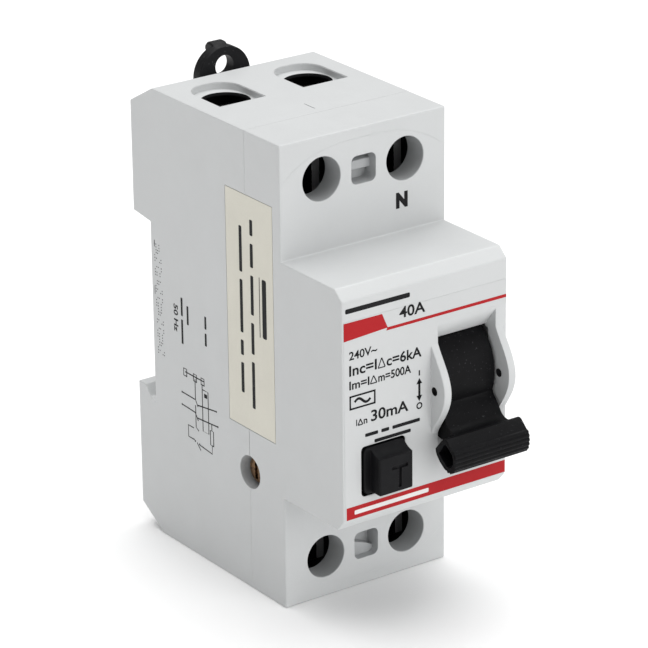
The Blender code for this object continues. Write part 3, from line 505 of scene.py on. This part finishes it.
def entry_outline(x, grow=0.0):
    """A wire-entry mouth: square at the front, its back corners round."""
    half, front, back, corner = 4.85 + grow, -18.2 - grow, -6.1 + grow, 4.3 + grow
    right = circle((x + half - corner, back - corner), corner, 10, 0, 90)
    left = circle((x - half + corner, back - corner), corner, 10, 90, 180)
    return [(x - half, front), (x + half, front), *right, *left]


def on_split(point):
    return abs(point[1] - SPLIT_Y) < 0.1


def rivet_cutters():
    """The round recess and the hole of each tie rivet, in both sides."""
    tools = []
    for z in RIVET_ZS.values():
        for side in (-1, 1):
            lip = RIVET_HOLE + 0.12
            recess = [(0, 15.6), (RIVET_HOLE, 15.6), (RIVET_HOLE, HALF_W - 0.12), (lip, HALF_W + 0.05),
                      (lip, 19), (0, 19)]
            hole = [(0, 14), (1.8, 14), (1.8, 16), (0, 16)]
            for profile in (recess, hole):
                tools.append(lathe("rivet_cut", "X", (0, SPLIT_Y, z),
                                   [(r, side * h) for r, h in profile], SHADED_HOLE_GREY, 40))
    return tools


def bosses(low, high):
    """Solid blocks that carry the tie rivets through each side wall."""
    return [block("boss", (min(s * 14.2, s * 17.5), low, z - 4.4),
                  (max(s * 14.2, s * 17.5), high, z + 4.4), SHADED_HOLE_GREY)
            for s in (-1, 1) for z in RIVET_ZS.values()]


def rooms(front, back, half):
    """The four terminal rooms, painted near-black inside as painted shade."""
    return [block("room", (x - half, front, min(s * 28, s * 42.3)),
                  (x + half, back, max(s * 28, s * 42.3)), PAINTED_DEPTH_SHADE)
            for x in (-POLE_X, POLE_X) for s in (-1, 1)]


def sticker_cut():
    """The shallow recess that the side sticker lies in."""
    return block("sticker_cut", (-19, -39.72, -12.62), (-HALF_W + 0.12, -25.08, 32.32), SHELL)


def rear_base():
    front = SPLIT_Y + SPLIT_GAP / 2
    outline = [
        (front, HALF_H), (-2.1, HALF_H), (BACK_Y, 40.1), (BACK_Y, 18.8), (-0.4, 18.1), (-0.4, -17.6),
        (0.0, -17.6), (1.2, -17.1), (2.86, -15.2), (BACK_Y, -15.2), (BACK_Y, -40.0), (-1.8, -HALF_H),
        (front, -HALF_H)]
    shell = prism("rear_base_shell", "X", outline, -HALF_W, HALF_W, SHELL, bevel=0.28, segments=3,
                  angle=20, crisp=on_split)
    boolean(shell, "DIFFERENCE", block("middle", (-CAVITY_HALF, -33, -26.5), (CAVITY_HALF, -1.8, 26.5),
                                       SHADED_HOLE_GREY), *rooms(-33, -5, ROOM_HALF))
    tools = []
    for x in (-POLE_X, POLE_X):
        for side in (-1, 1):
            tools.append(prism("mouth", "Z", entry_outline(x), *span(side * 42.9, side * 46), SHELL))
            tools.append(prism("mouth_lip", "Z", entry_outline(x, 0.12),
                               *span(side * 44.03, side * 46), SHELL))
            lip = BORE_RADIUS + 0.12
            bore = [(0, 41), (BORE_RADIUS, 41), (BORE_RADIUS, 42.75), (lip, 42.95), (lip, 45), (0, 45)]
            tools.append(lathe("bore", "Z", (x, BORE_Y, 0), [(r, side * h) for r, h in bore], PAINTED_DEPTH_SHADE, 56))
    tools += [block("clip_channel", (-6.0, 0.4, 17), (6.0, 3.4, 46), SHELL),
              block("clip_mouth", (-4.4, 3.2, 17), (4.4, 6, 46), SHELL)]
    boolean(shell, "DIFFERENCE", *tools)
    boolean(shell, "UNION", block("rail_pad", (-15.5, -1.0, -13), (15.5, 0, 13), SHELL, bevel=0.15),
            block("clip_post", (-1.8, -0.6, 32.8), (1.8, 2.7, 35), SHELL), *bosses(front, -26.9))
    boolean(shell, "DIFFERENCE", *rivet_cutters(), sticker_cut(),
            block("top_slit", (-1.28, -29.3, HALF_H - 0.35), (-1.12, -26.0, HALF_H + 1), SHELL),
            block("seam", (-HALF_W - 1, front - 0.1, -17.8), (-HALF_W + 0.3, front + 0.08, -12.5),
                  SHELL))
    return place_on(even_normals(shell), "case", "rear_base", slot="housing")


def cheek_outline():
    """One cheek of the toggle guard, side view: a bump with sloping flanks."""
    steps = 48
    spots = [1 - 2 * i / steps for i in range(steps + 1)]
    bump = [(CHEEK_FOOT - CHEEK_RISE * math.cos(math.pi / 2 * s) ** CHEEK_FULLNESS,
             CHEEK_Z + CHEEK_HALF * s) for s in spots]
    return [(FASCIA_Y + 0.9, bump[0][1]), *bump, (FASCIA_Y + 0.9, bump[-1][1])]


def shoulder_arc(side):
    """The fine arc that crosses a shoulder above its holes."""
    points = []
    for i in range(41):
        x = -17.9 + 35.8 * i / 40
        points.append((x, side * (42.2 - 5.4 * (abs(x) / 17.9) ** 2.9)))
    return stroke(points, 0.045)


def front_cover():
    back = SPLIT_Y - SPLIT_GAP / 2
    outline = [
        (back, HALF_H), (SHOULDER_Y, HALF_H), (SHOULDER_Y, 22.7), (-58.0, 22.7), (FASCIA_Y, 20.8),
        (FASCIA_Y, -20.5), (-58.4, -22.5), (SHOULDER_Y, -22.5), (SHOULDER_Y, -HALF_H), (back, -HALF_H)]
    inside = [(-31.0, 26.5), (-40.35, 26.5), (-40.35, 20.9), (-56.9, 20.9), (-57.95, 19.9),
              (-57.95, -19.6), (-57.0, -20.7), (-40.35, -20.7), (-40.35, -26.5), (-31.0, -26.5)]
    shell = prism("front_cover_shell", "X", outline, -HALF_W, HALF_W, SHELL, bevel=0.28, segments=3,
                  angle=20, crisp=on_split)
    boolean(shell, "DIFFERENCE", prism("inside", "X", inside, -CAVITY_HALF, CAVITY_HALF, SHADED_HOLE_GREY),
            *rooms(-37.5, -31, ROOM_HALF_FRONT))
    cheeks = [prism("cheek", "X", cheek_outline(), low, high, SHELL, bevel=0.22, segments=3, angle=60)
              for low, high in ((1.2, WINDOW[0] + 0.4), (WINDOW[1] - 0.4, 17.1))]
    frames = [block("window_frame", (1.25, -58.6, min(s * 7.6, s * 14)),
                    (16.7, -57.1, max(s * 7.6, s * 14)), SHELL)
              for s in (-1, 1)]
    boolean(shell, "UNION", *cheeks, *frames, block("pin_rib", (0.0, -58.6, -4.5), (1.0, -47, 4.5),
                                                    SHELL),
            *bosses(-35.9, back))
    holes = []
    for side in (-1, 1):
        for x in (-POLE_X, POLE_X):
            lip = ACCESS_RADIUS + ACCESS_LIP
            hole = [(0, -45), (lip, -45), (lip, SHOULDER_Y - 0.02),
                    (ACCESS_RADIUS, SHOULDER_Y - 0.02 + ACCESS_LIP), (ACCESS_RADIUS, -36.9), (0, -36.9)]
            holes.append(lathe("access", "Y", (x, 0, side * TERMINAL_Z), hole, SHADED_HOLE_GREY, SEGMENTS_FINE))
    boolean(shell, "DIFFERENCE", *holes)
    ramp_side = [(-65, 17.87), (-56.5, 7.3), (-56.5, -7.3), (-65, -17.87)]
    cuts = [prism("window", "X", ramp_side, *WINDOW, SHELL), *rivet_cutters(), sticker_cut(),
            lathe("pin_hole", "X", (0, *PIVOT), [(0, -0.5), (1.4, -0.5), (1.4, 17.2), (0, 17.2)], SHADED_HOLE_GREY,
                  32),
            lathe("seal_hole", "X", (0, -61.1, -0.1), [(0, 0.5), (0.8, 0.5), (0.8, 18.5), (0, 18.5)],
                  PAINTED_DEPTH_SHADE, 24),
            prism("button_hole", "Y", rounded_square(BUTTON, 4.75, 0.8), -61, -57, PAINTED_DEPTH_SHADE)]
    for side in (-1, 1):
        cuts.append(prism("slot", "Y", rounded_square((0, side * TERMINAL_Z), 2.65, 1.15), -43, -38.9,
                          SHADED_HOLE_GREY))
    boolean(shell, "DIFFERENCE", *cuts)
    z = TERMINAL_Z
    boolean(shell, "UNION", block("slot_bar", (-3, -40.3, z - 0.7), (3, -38.0, z + 1.1), SHADED_HOLE_GREY,
                                  bevel=0.3),
            prism("slot_web", "Y", [(-3, -z - 3), (-3, -z + 0.6), (0.5, -z - 0.5), (3, -z - 1.7),
                                    (3, -z - 3)], -40.5, -38.0, SHADED_HOLE_GREY))
    boolean(shell, "DIFFERENCE",
            *[prism("arc", "Y", shoulder_arc(s), SHOULDER_Y - 0.5, SHOULDER_Y + 0.02,
                    SHELL) for s in (-1, 1)])
    return place_on(even_normals(shell), "case", "front_cover", slot="housing")


rear_base()
front_cover()


# ---------------------------------------------------------------- toggle

def ribbed(path, pitch, depth):
    """A side-view path cut with a row of rounded ribs."""
    fine, run = [], 0.0
    for one, two in zip(path, path[1:]):
        one, two = Vector(one), Vector(two)
        length = (two - one).length
        normal = Vector(((two - one).y, -(two - one).x)).normalized()
        steps = max(2, round(length / 0.09))
        for i in range(steps):
            along = run + length * i / steps
            cut = depth * (1 - abs(math.sin(math.pi * along / pitch)))
            fine.append(tuple(one.lerp(two, i / steps) + normal * cut))
        run += length
    return fine + [path[-1]]


def toggle():
    x0, x1 = DRUM_X
    drum = prism("toggle_handle", "X", circle(PIVOT, DRUM_RADIUS, 2 * SEGMENTS_FINE), x0, x1, DRUM,
                 bevel=0.22, segments=3, angle=60)
    boolean(drum, "DIFFERENCE", lathe("pocket", "X", (0, *PIVOT),
                                      [(0, 5.2), (8.3, 5.2), (8.3, 12.8), (0, 12.8)], DRUM, 64),
            prism("opening", "X", arm([(4, -6), (12, -6), (12, 6), (4, 6)], 143), 5.5, 12.5, DRUM))
    neck = arm([(8.6, 4.2), (9.45, 2.75), (9.95, 2.4), (10.6, 2.28), (11.4, 2.18), (12.2, 2.0),
                (12.9, 1.75), (13.6, 1.55),
                (14.2, 1.5), (14.8, 1.6), (15.3, 1.85), (15.8, 2.2), (15.8, -1.3), (15.15, -1.1),
                (12.9, -2.3), (11.0, -2.55), (9.7, -2.45), (9.0, -2.9)])
    tip = ribbed([(18.7, 2.62), (19.5, 2.45), (20.2, 1.88), (20.7, 1.2), (21.1, 0.5), (21.35, -0.3),
                  (21.2, -1.1), (20.85, -1.75), (20.2, -2.2), (19.2, -2.4)], RIB_PITCH, RIB_DEPTH)
    grip_side = arm([(15.35, -1.5), (15.5, 1.2), (15.65, 2.0), (15.95, 2.4), (16.4, 2.62), *tip,
                     (17.6, -2.45), (16.4, -2.2), (15.8, -1.9)])
    grip = prism("grip", "X", grip_side, *GRIP_X, DRUM, bevel=0.07, segments=1, angle=70)
    boolean(drum, "UNION", prism("neck", "X", neck, x0 + 0.05, x1 - 0.05, DRUM), grip,
            lathe("hub", "X", (0, *PIVOT), [(0, 4.5), (2.3, 4.5), (2.3, 13.5), (0, 13.5)], DRUM, 32))
    hollow = arm([(16.4, -1.3), (16.45, 1.3), (16.8, 1.7), (19.0, 1.7), (19.9, 1.1), (20.3, 0.2),
                  (20.2, -0.8), (19.4, -1.5)])
    boolean(drum, "DIFFERENCE", prism("hollow", "X", hollow, 0, 5.6, DRUM),
            lathe("crank_hole", "X", (0, *CRANK), [(0, 2), (0.9, 2), (0.9, 5.35), (0, 5.35)], DRUM, 32),
            lathe("bore", "X", (0, *PIVOT), [(0, 2), (1.3, 2), (1.3, 16), (0, 16)], DRUM, 32))
    return place_on(even_normals(drum, 38), "toggle", "toggle", slot="black_plastic")


toggle()


# ---------------------------------------------------------------- test button

def test_button():
    cx, cz = BUTTON
    base = prism("test_button_cap", "Y", rounded_square(BUTTON, 4.35, 0.9), LABEL_Y - 0.3, -57.3,
                 BUTTON_BLACK,
                 bevel=0.18, segments=3, angle=50)
    cap = prism("cap", "Y", [(-12.2, -16.0), (-5.0, -16.0), (-5.0, -7.6), (-12.2, -7.6)], -63.1, -59.5,
                BUTTON_BLACK,
                bevel=0.3, segments=3, angle=50)
    boolean(base, "UNION", cap, prism("flange", "Y", rounded_square(BUTTON, 5.3, 0.8), -57.6, -56.6,
                                      BUTTON_BLACK),
            lathe("stem", "Y", (cx, 0, cz), [(0, -57), (2.2, -57), (2.2, -51.5), (0, -51.5)],
                  BUTTON_BLACK, 32))
    boolean(base, "DIFFERENCE",
            lathe("scoop", "X", (0, -63.3, -5.3), [(0, -14.5), (3.75, -14.5), (3.75, -3), (0, -3)],
                  BUTTON_BLACK, 72),
            block("bar", (-9.6, -64, -11.6), (-6.1, -62.75, -10.9), BUTTON_BLACK),
            block("letter", (-8.2, -64, -15.2), (-7.5, -62.75, -11.3), BUTTON_BLACK))
    return place_on(even_normals(base), "test_button", "test_button", slot="black_plastic")


test_button()


# ---------------------------------------------------------------- DIN clip

def din_clip():
    ring = circle((0, 42.25), 5.64, 48, 0, 180)
    plate = prism("din_clip_slide", "Y", [(-5.64, 19.0), (5.64, 19.0), *ring], 0.7, 3.0, CLIP,
                  bevel=0.22, segments=2, angle=60)
    nose = [(1.3, 17.2), (2.8, 15.6), (4.9, 15.6), (4.9, 20.0), (2.6, 22.3), (0.9, 22.3), (0.9, 18.9)]
    knob = [(2.0, 45.6), (5.1, 46.4), (5.1, 47.4), (4.2, 48.25), (2.6, 48.25), (0.9, 47.0)]
    boolean(plate, "UNION", prism("nose", "X", nose, -4.0, 4.0, CLIP, bevel=0.2, segments=2),
            prism("knob", "X", knob, -1.6, 1.6, CLIP, bevel=0.45, segments=4))
    boolean(plate, "DIFFERENCE", block("window", (-2.3, 0, 23), (2.3, 6, 35.3), CLIP),
            lathe("hole", "Y", (-0.1, 0, 44.2), [(0, -1), (2.15, -1), (2.0, 0.85), (2.0, 2.85),
                                                 (2.15, 7), (0, 7)], CLIP, 64))
    return place_on(even_normals(plate), "din_clip", "din_clip", slot="black_plastic")


din_clip()


# ---------------------------------------------------------------- rivets, screws, cages

def rivets():
    for place, z in RIVET_ZS.items():
        profile = [(0, 16.6), (1.6, 16.6), (2.2, 16.5), (2.5, 16.3), (2.6, 16.05), (2.6, 15.9),
                   (1.45, 15.9)]
        whole = profile + [(r, -h) for r, h in reversed(profile)]
        rivet = lathe(f"tie_rivet_{place}_turned", "X", (0, SPLIT_Y, z), whole, BRASS, 48)
        boolean(rivet, "DIFFERENCE", *[
            block("slot", (min(s * 16.0, s * 17), SPLIT_Y - 0.5, z - 1.8),
                  (max(s * 16.0, s * 17), SPLIT_Y + 0.5, z + 1.8), BRASS)
            for s in (-1, 1)])
        place_on(even_normals(rivet), "case", f"tie_rivet_{place}", slot="brass")


def screw_profile(top):
    """Head, thread turns and point of a terminal screw, from its head's face inwards."""
    profile = [(0, top), (3.0, top), (3.4, top + 0.2), (3.6, top + 0.6), (3.6, top + 3.5),
               (THREAD_RADIUS, top + 3.5)]
    y = top + 4.0
    while y < top + 12.6:
        profile += [(THREAD_RADIUS, y), (THREAD_RADIUS, y + 0.1), (THREAD_ROOT, y + 0.38),
                    (THREAD_ROOT, y + 0.48)]
        y += THREAD_PITCH
    return profile + [(THREAD_RADIUS, y), (1.9, top + 14.1), (0, top + 14.1)]


def terminals():
    for end, side in (("line", 1), ("load", -1)):
        for pole, x in (("left", -POLE_X), ("right", POLE_X)):
            z, top, which = side * TERMINAL_Z, SCREW_TOP, f"{end}_{pole}"
            screw = lathe(f"terminal_screw_{which}_turned", "Y", (x, 0, z), screw_profile(top), SCREW_PAINTED_SHADE,
                          40)
            boolean(screw, "DIFFERENCE", block("slot", (x - 3.0, top - 1, z - 0.5),
                                               (x + 3.0, top + 1.6, z + 0.5), SCREW_PAINTED_SHADE))
            boolean(screw, "DIFFERENCE", block("cross", (x - 0.5, top - 1, z - 2.0),
                                               (x + 0.5, top + 1.3, z + 2.0), SCREW_PAINTED_SHADE))
            place_on(even_normals(screw), f"screw_{which}", f"terminal_screw_{which}", slot="steel")
            cage = block(f"terminal_cage_{which}_formed", (x - 4.9, -21.9, z - 4),
                         (x + 4.9, -7.1, z + 4), ZINC, bevel=0.7, segments=4)
            grooves = [block("groove", (x - 3.2, -8.45, z + dz - 0.2), (x + 3.2, -8.15, z + dz + 0.2),
                             ZINC)
                       for dz in (-2.4, -1.2, 0, 1.2, 2.4)]
            boolean(cage, "DIFFERENCE", block("room", (x - 3.9, -19.4, z - 5), (x + 3.9, -8.3, z + 5),
                                              ZINC, bevel=0.4, segments=3),
                    lathe("thread", "Y", (x, 0, z), [(0, -23), (2.7, -23), (2.7, -18), (0, -18)], ZINC,
                          32), *grooves)
            place_on(even_normals(cage), f"cage_{which}", f"terminal_cage_{which}", slot="steel")


rivets()
terminals()


# ---------------------------------------------------------------- label and print

def label():
    """The film, cut out round the button and the toggle guard."""
    outline = [(-17.6, -20.3), (17.8, -20.3), (17.8, -12.5), (2.3, -12.5), (2.3, -8.2), (0.2, -8.2),
               (0.2, 8.0), (2.3, 8.0), (2.3, 12.4), (17.8, 12.4), (17.8, 17.0), (-17.6, 17.0)]
    film = prism("front_label_film", "Y", outline, LABEL_Y, FASCIA_Y - 0.005, LABEL)
    boolean(film, "DIFFERENCE", prism("cutout", "Y", rounded_square(BUTTON, 4.85, 0.9), -61, -59,
                                      LABEL))
    place_on(even_normals(film), "case", "front_label", slot="label")


def rect(x0, z0, x1, z1):
    return [(x0, z0), (x1, z0), (x1, z1), (x0, z1)]


def pill(x0, z0, x1, z1):
    """A bar with rounded ends: stands for a word."""
    r = min(x1 - x0, z1 - z0) / 2 * 0.55
    corners = ((x1 - r, z0 + r, 270), (x1 - r, z1 - r, 0), (x0 + r, z1 - r, 90), (x0 + r, z0 + r, 180))
    return [p for x, z, start in corners for p in circle((x, z), r, 4, start, start + 90)]


def front_ink(outlines, finish, surface=LABEL_Y):
    return [prism("ink", "Y", outline, surface - INK_LIFT, surface + INK_SINK,
                  finish) for outline in outlines]


def front_print():
    red = front_ink([
        [(-17.6, 13.5), (-8.2, 14.0), (-9.4, 16.8), (-17.6, 16.85)],
        [(-8.5, 13.5), (17.8, 13.5), (17.8, 14.1), (-8.3, 14.05)], rect(-17.3, -20.25, 17.8, -17.9)],
                    RED_INK)
    place_on(joined("print_red", red), "case")
    words = [("40A", (-5.7, 15.0, -0.1, 17.1), 0.06), ("240V~", (-16.5, 9.8, -10.5, 11.4), 0.04),
             ("Inc=I", (-16.5, 6.8, -10.6, 8.8), 0.06), ("c=6kA", (-8.5, 6.8, -0.9, 8.8), 0.06),
             ("Im=I", (-16.5, 4.3, -12.2, 5.9), 0.05), ("m=500A", (-10.3, 4.3, -3.2, 5.9), 0.05),
             ("I", (-15.1, -2.75, -14.9, -1.55), 0.0), ("n", (-13.5, -2.75, -12.7, -1.85), 0.03),
             ("30mA", (-11.9, -2.75, -3.8, -0.6), 0.06)]
    black = [text(w, box, "FRONT", BLACK_INK, bold, place=LABEL_Y - 0.005) for w, box, bold in words]
    x0, z0, x1, z1, line = -16.5, 0.5, -10.9, 3.15, 0.34
    frame_lines = [rect(x0, z0, x1, z0 + line), rect(x0, z1 - line, x1, z1),
                   rect(x0, z0, x0 + line, z1), rect(x1 - line, z0, x1, z1)]
    wave = [(-15.4 + 3.4 * i / 20, 1.82 + 0.5 * math.sin(math.tau * i / 20)) for i in range(21)]
    ring = [circle((-1.4, -2.4), r, 28) for r in (0.66, 0.38)]
    deltas = [[(x0, z0), (x1, z0), ((x0 + x1) / 2, z1)] for x0, z0, x1, z1 in
              ((-10.3, 6.9, -8.8, 8.7), (-12.0, 4.4, -10.6, 5.8), (-14.7, -2.7, -13.7, -1.6))]
    sides = [stroke(pair, 0.11) for d in deltas for pair in (d[:2], d[1:], [d[2], d[0]])]
    marks = [*frame_lines, *sides, stroke(wave, 0.24), rect(-1.55, 3.3, -1.25, 4.3),
             rect(-1.64, -0.9, -1.16, 2.2),
             [(-2.05, 1.75), (-0.77, 1.75), (-1.41, 2.85)], [(-2.05, -0.45), (-1.41, -1.55),
                                                             (-0.77, -0.45)],
             pill(-13.2, -5.35, -10.4, -4.7), pill(-9.7, -5.35, -8.0, -4.7),
             pill(-7.3, -5.35, -1.3, -4.7),
             pill(-11.2, -6.9, -3.3, -6.25)]
    black += front_ink(marks, BLACK_INK)
    black += front_ink([pill(-17.2, 18.5, -3.4, 19.4)], BLACK_INK, FASCIA_Y)
    zero = prism("zero", "Y", ring[0], LABEL_Y - INK_LIFT, LABEL_Y + INK_SINK, BLACK_INK)
    boolean(zero, "DIFFERENCE", prism("zero_hole", "Y", ring[1], LABEL_Y - 1, LABEL_Y + 1, BLACK_INK))
    place_on(joined("print_black", [*black, zero]), "case")
    place_on(joined("print_white", front_ink([pill(-15.6, -19.5, 0.6, -18.7)], WHITE_INK,
                                             LABEL_Y - INK_LIFT)), "case")
    letter = text("N", (7.04, 27.1, 9.63, 30.1), "FRONT", BLACK_INK, 0.3, place=SHOULDER_Y)
    place_on(joined("neutral_mark", [letter]), "case")


def side_ink(outlines, finish, surface=-HALF_W):
    return [prism("ink", "X", outline, surface - INK_LIFT, surface + INK_SINK,
                  finish) for outline in outlines]


def side_sticker():
    sheet = block("side_sticker_paper", (-HALF_W, -39.6, -12.5), (-HALF_W + 0.09, -25.2, 32.2), STICKER)
    place_on(sheet, "case", "side_sticker", slot="sticker")
    bars = [pill(-37.5, 6.6, -36.2, 17.8), rect(-35.5, 6.5, -35.3, 17.9)]
    for y, top, letters, pitch in ((-33.1, 28.0, (2, 3, 5, 4, 6), 1.5),
                                   (-29.7, 26.0, (6, 7, 2, 4), 1.45)):
        for count in letters:
            bars.append(pill(y - 0.45, top - pitch * count, y + 0.45, top))
            top -= pitch * (count + 1)
    place_on(joined("sticker_bars", side_ink(bars, BLACK_INK)), "case")


def side_print():
    """The wiring diagram, the small rating lines and the dot code, all of generic marks."""
    line = 0.12
    paths = [
        [(-9.8, -12.6), (-14.0, -12.7)], [(-14.6, -13.6), (-20.6, -12.8)],
        [(-9.7, -15.1), (-13.8, -15.3)],
        [(-14.4, -16.2), (-21.0, -15.7)], [(-14.0, -8.6), (-14.0, -12.7), (-14.8, -13.9)],
        [(-13.8, -15.3), (-14.8, -16.7)], [(-16.3, -8.8), (-16.3, -18.2), (-18.2, -18.2),
                                           (-18.2, -9.9), (-16.3, -9.9)],
        [(-10.8, -8.2), (-17.0, -8.2)], [(-14.0, -13.8), (-14.0, -18.2), (-14.9, -18.7)],
        [(-13.2, -18.6), (-11.4, -18.6), (-11.4, -20.9), (-13.4, -20.9)],
        [(-15.2, -21.4), (-19.2, -21.8), (-19.2, -20.1)],
        [(-19.2, -15.8), (-19.2, -17.2)], [(-14.2, -21.2), (-15.4, -22.4)]]
    strokes = [stroke(path, line) for path in paths]
    for y0, z0, y1, z1 in ((-11.3, -9.0, -10.3, -7.6), (-14.5, -9.1, -13.5, -7.7),
                           (-17.0, -9.0, -16.0, -7.7),
                           (-19.7, -20.1, -18.7, -17.2)):
        strokes += [stroke([(y0, z0), (y1, z0), (y1, z1), (y0, z1), (y0, z0 - line)], line)]
    strokes += [rect(-17.9, -11.3, -16.9, -10.5)]
    for y, z in ((-9.6, -12.6), (-9.5, -15.1), (-20.8, -12.8), (-21.2, -15.7), (-13.6, -21.1),
                 (-15.0, -21.3)):
        strokes.append(circle((y, z), 0.2, 14))
    strokes += [pill(-10.5, 2.6, -9.9, 6.2), pill(-10.5, -2.9, -9.9, 1.9), pill(-12.4, 1.4, -11.8, 5.1),
                pill(-18.2, 2.4, -17.6, 4.9), pill(-18.2, -0.9, -17.6, 1.6)]
    pieces = side_ink(strokes, BLACK_INK)
    pieces.append(text("50 Hz", (-8.9, -1.1, -7.5, 4.3), "LEFT", BLACK_INK, 0.05, lie=1, place=-HALF_W))
    place_on(joined("print_diagram", pieces), "case")
    dots = []
    for row in range(5):
        for i in range(40):
            z = 14.2 - 0.55 * i
            keyed = (i * 7 + row * 5 + i * i * (row + 1)) % 11
            if keyed < 6 and i % 14 != 12:
                dots.append(circle((-1.6 - 0.5 * row - 0.01 * i, z), 0.14, 6))
    dots += [rect(-1.75, 13.6, -1.55, 14.9), rect(-1.45, 4.2, -1.3, 5.9)]
    place_on(joined("print_dots", side_ink(dots, GREY_INK)), "case")


label()
front_print()
side_sticker()
side_print()


# ---------------------------------------------------------------- what carries over from the CAD

CARRIED = {
    ("toggle_pin", "carrier_axle", "toggle_link", "trip_lever_pin", "relay_yoke", "relay_plunger",
     "core_ring"): ZINC,
    ("din_clip_spring", "toggle_spring", "contact_spring_left", "contact_spring_right", "relay_spring",
     "trip_lever_spring", "test_button_spring", "test_contact_wire"): SPRING,
    ("line_bar_left", "line_bar_right", "load_bar_left", "load_bar_right", "moving_contact_arm_left",
     "moving_contact_arm_right"): COPPER,
    ("fixed_contact_tip_left", "fixed_contact_tip_right", "moving_contact_tip_left",
     "moving_contact_tip_right"): SILVER,
    ("relay_coil", "secondary_winding"): WINDING,
    ("relay_housing",): BLUE,
    ("contact_carrier", "trip_lever", "core_case", "core_lid"): DARK,
    ("mechanism_chassis",): CHASSIS,
    ("primary_conductor_left",): RED_JACKET,
    ("primary_conductor_right",): BLUE_JACKET,
    ("test_lead_load", "test_lead_line", "secondary_lead_a", "secondary_lead_b"): LEAD,
    ("test_resistor",): RESISTOR,
}
for names, finish in CARRIED.items():
    for name in names:
        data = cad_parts[name].data
        data.materials.clear()
        data.materials.append(finish)


# ---------------------------------------------------------------- stage

def stage():
    ground = bpy.data.meshes.new("floor")
    bm = bmesh.new()
    z = -HALF_H
    for x, y in ((-3000, -3000), (3000, -3000), (3000, 3000), (-3000, 3000)):
        bm.verts.new((x * MM, y * MM, z * MM))
    bm.faces.new(bm.verts)
    bm.to_mesh(ground)
    bm.free()
    floor = link("floor", ground, finish_of("pale_floor", (0.95, 0.95, 0.95), 0.6, drift=0.004,
                                            patch=2, grain=40))
    world = bpy.data.worlds.new("studio")
    bpy.context.scene.world = world
    world.use_nodes = True
    world.node_tree.nodes["Background"].inputs["Color"].default_value = (1, 1, 1, 1)
    world.node_tree.nodes["Background"].inputs["Strength"].default_value = 0.43


def soft_sun(name, direction, strength, spread):
    """A distant soft light that shines along a direction."""
    data = bpy.data.lights.new(name, "SUN")
    data.energy = strength
    data.angle = math.radians(spread)
    lamp = bpy.data.objects.new(name, data)
    bpy.context.scene.collection.objects.link(lamp)
    lamp.rotation_euler = Vector(direction).to_track_quat("-Z", "Y").to_euler()


def camera():
    azimuth, elevation, roll, focal = -35.403, 21.878, -0.661, 3658.3
    a, e, r = (math.radians(v) for v in (azimuth, elevation, roll))
    back = Vector((math.sin(a) * math.cos(e), -math.cos(a) * math.cos(e), math.sin(e)))
    right = Vector((math.cos(a), math.sin(a), 0))
    up = back.cross(right)
    right, up = math.cos(r) * right + math.sin(r) * up, -math.sin(r) * right + math.cos(r) * up
    data = bpy.data.cameras.new("camera")
    data.sensor_width = 36
    data.lens = focal * 36 / 648
    data.clip_start = 0.05
    eye = bpy.data.objects.new("camera", data)
    bpy.context.scene.collection.objects.link(eye)
    turn = Matrix((right, up, back)).transposed().to_4x4()
    eye.matrix_world = Matrix.Translation(Vector((-356.165, -530.758, 249.759)) * MM) @ turn
    bpy.context.scene.camera = eye


stage()
soft_sun("overhead", (-0.12, -0.14, -1.0), 2.6, 70)
soft_sun("front_fill", (-0.25, 1.0, -0.34), 1.08, 45)
camera()
bpy.context.scene.view_settings.view_transform = "Standard"
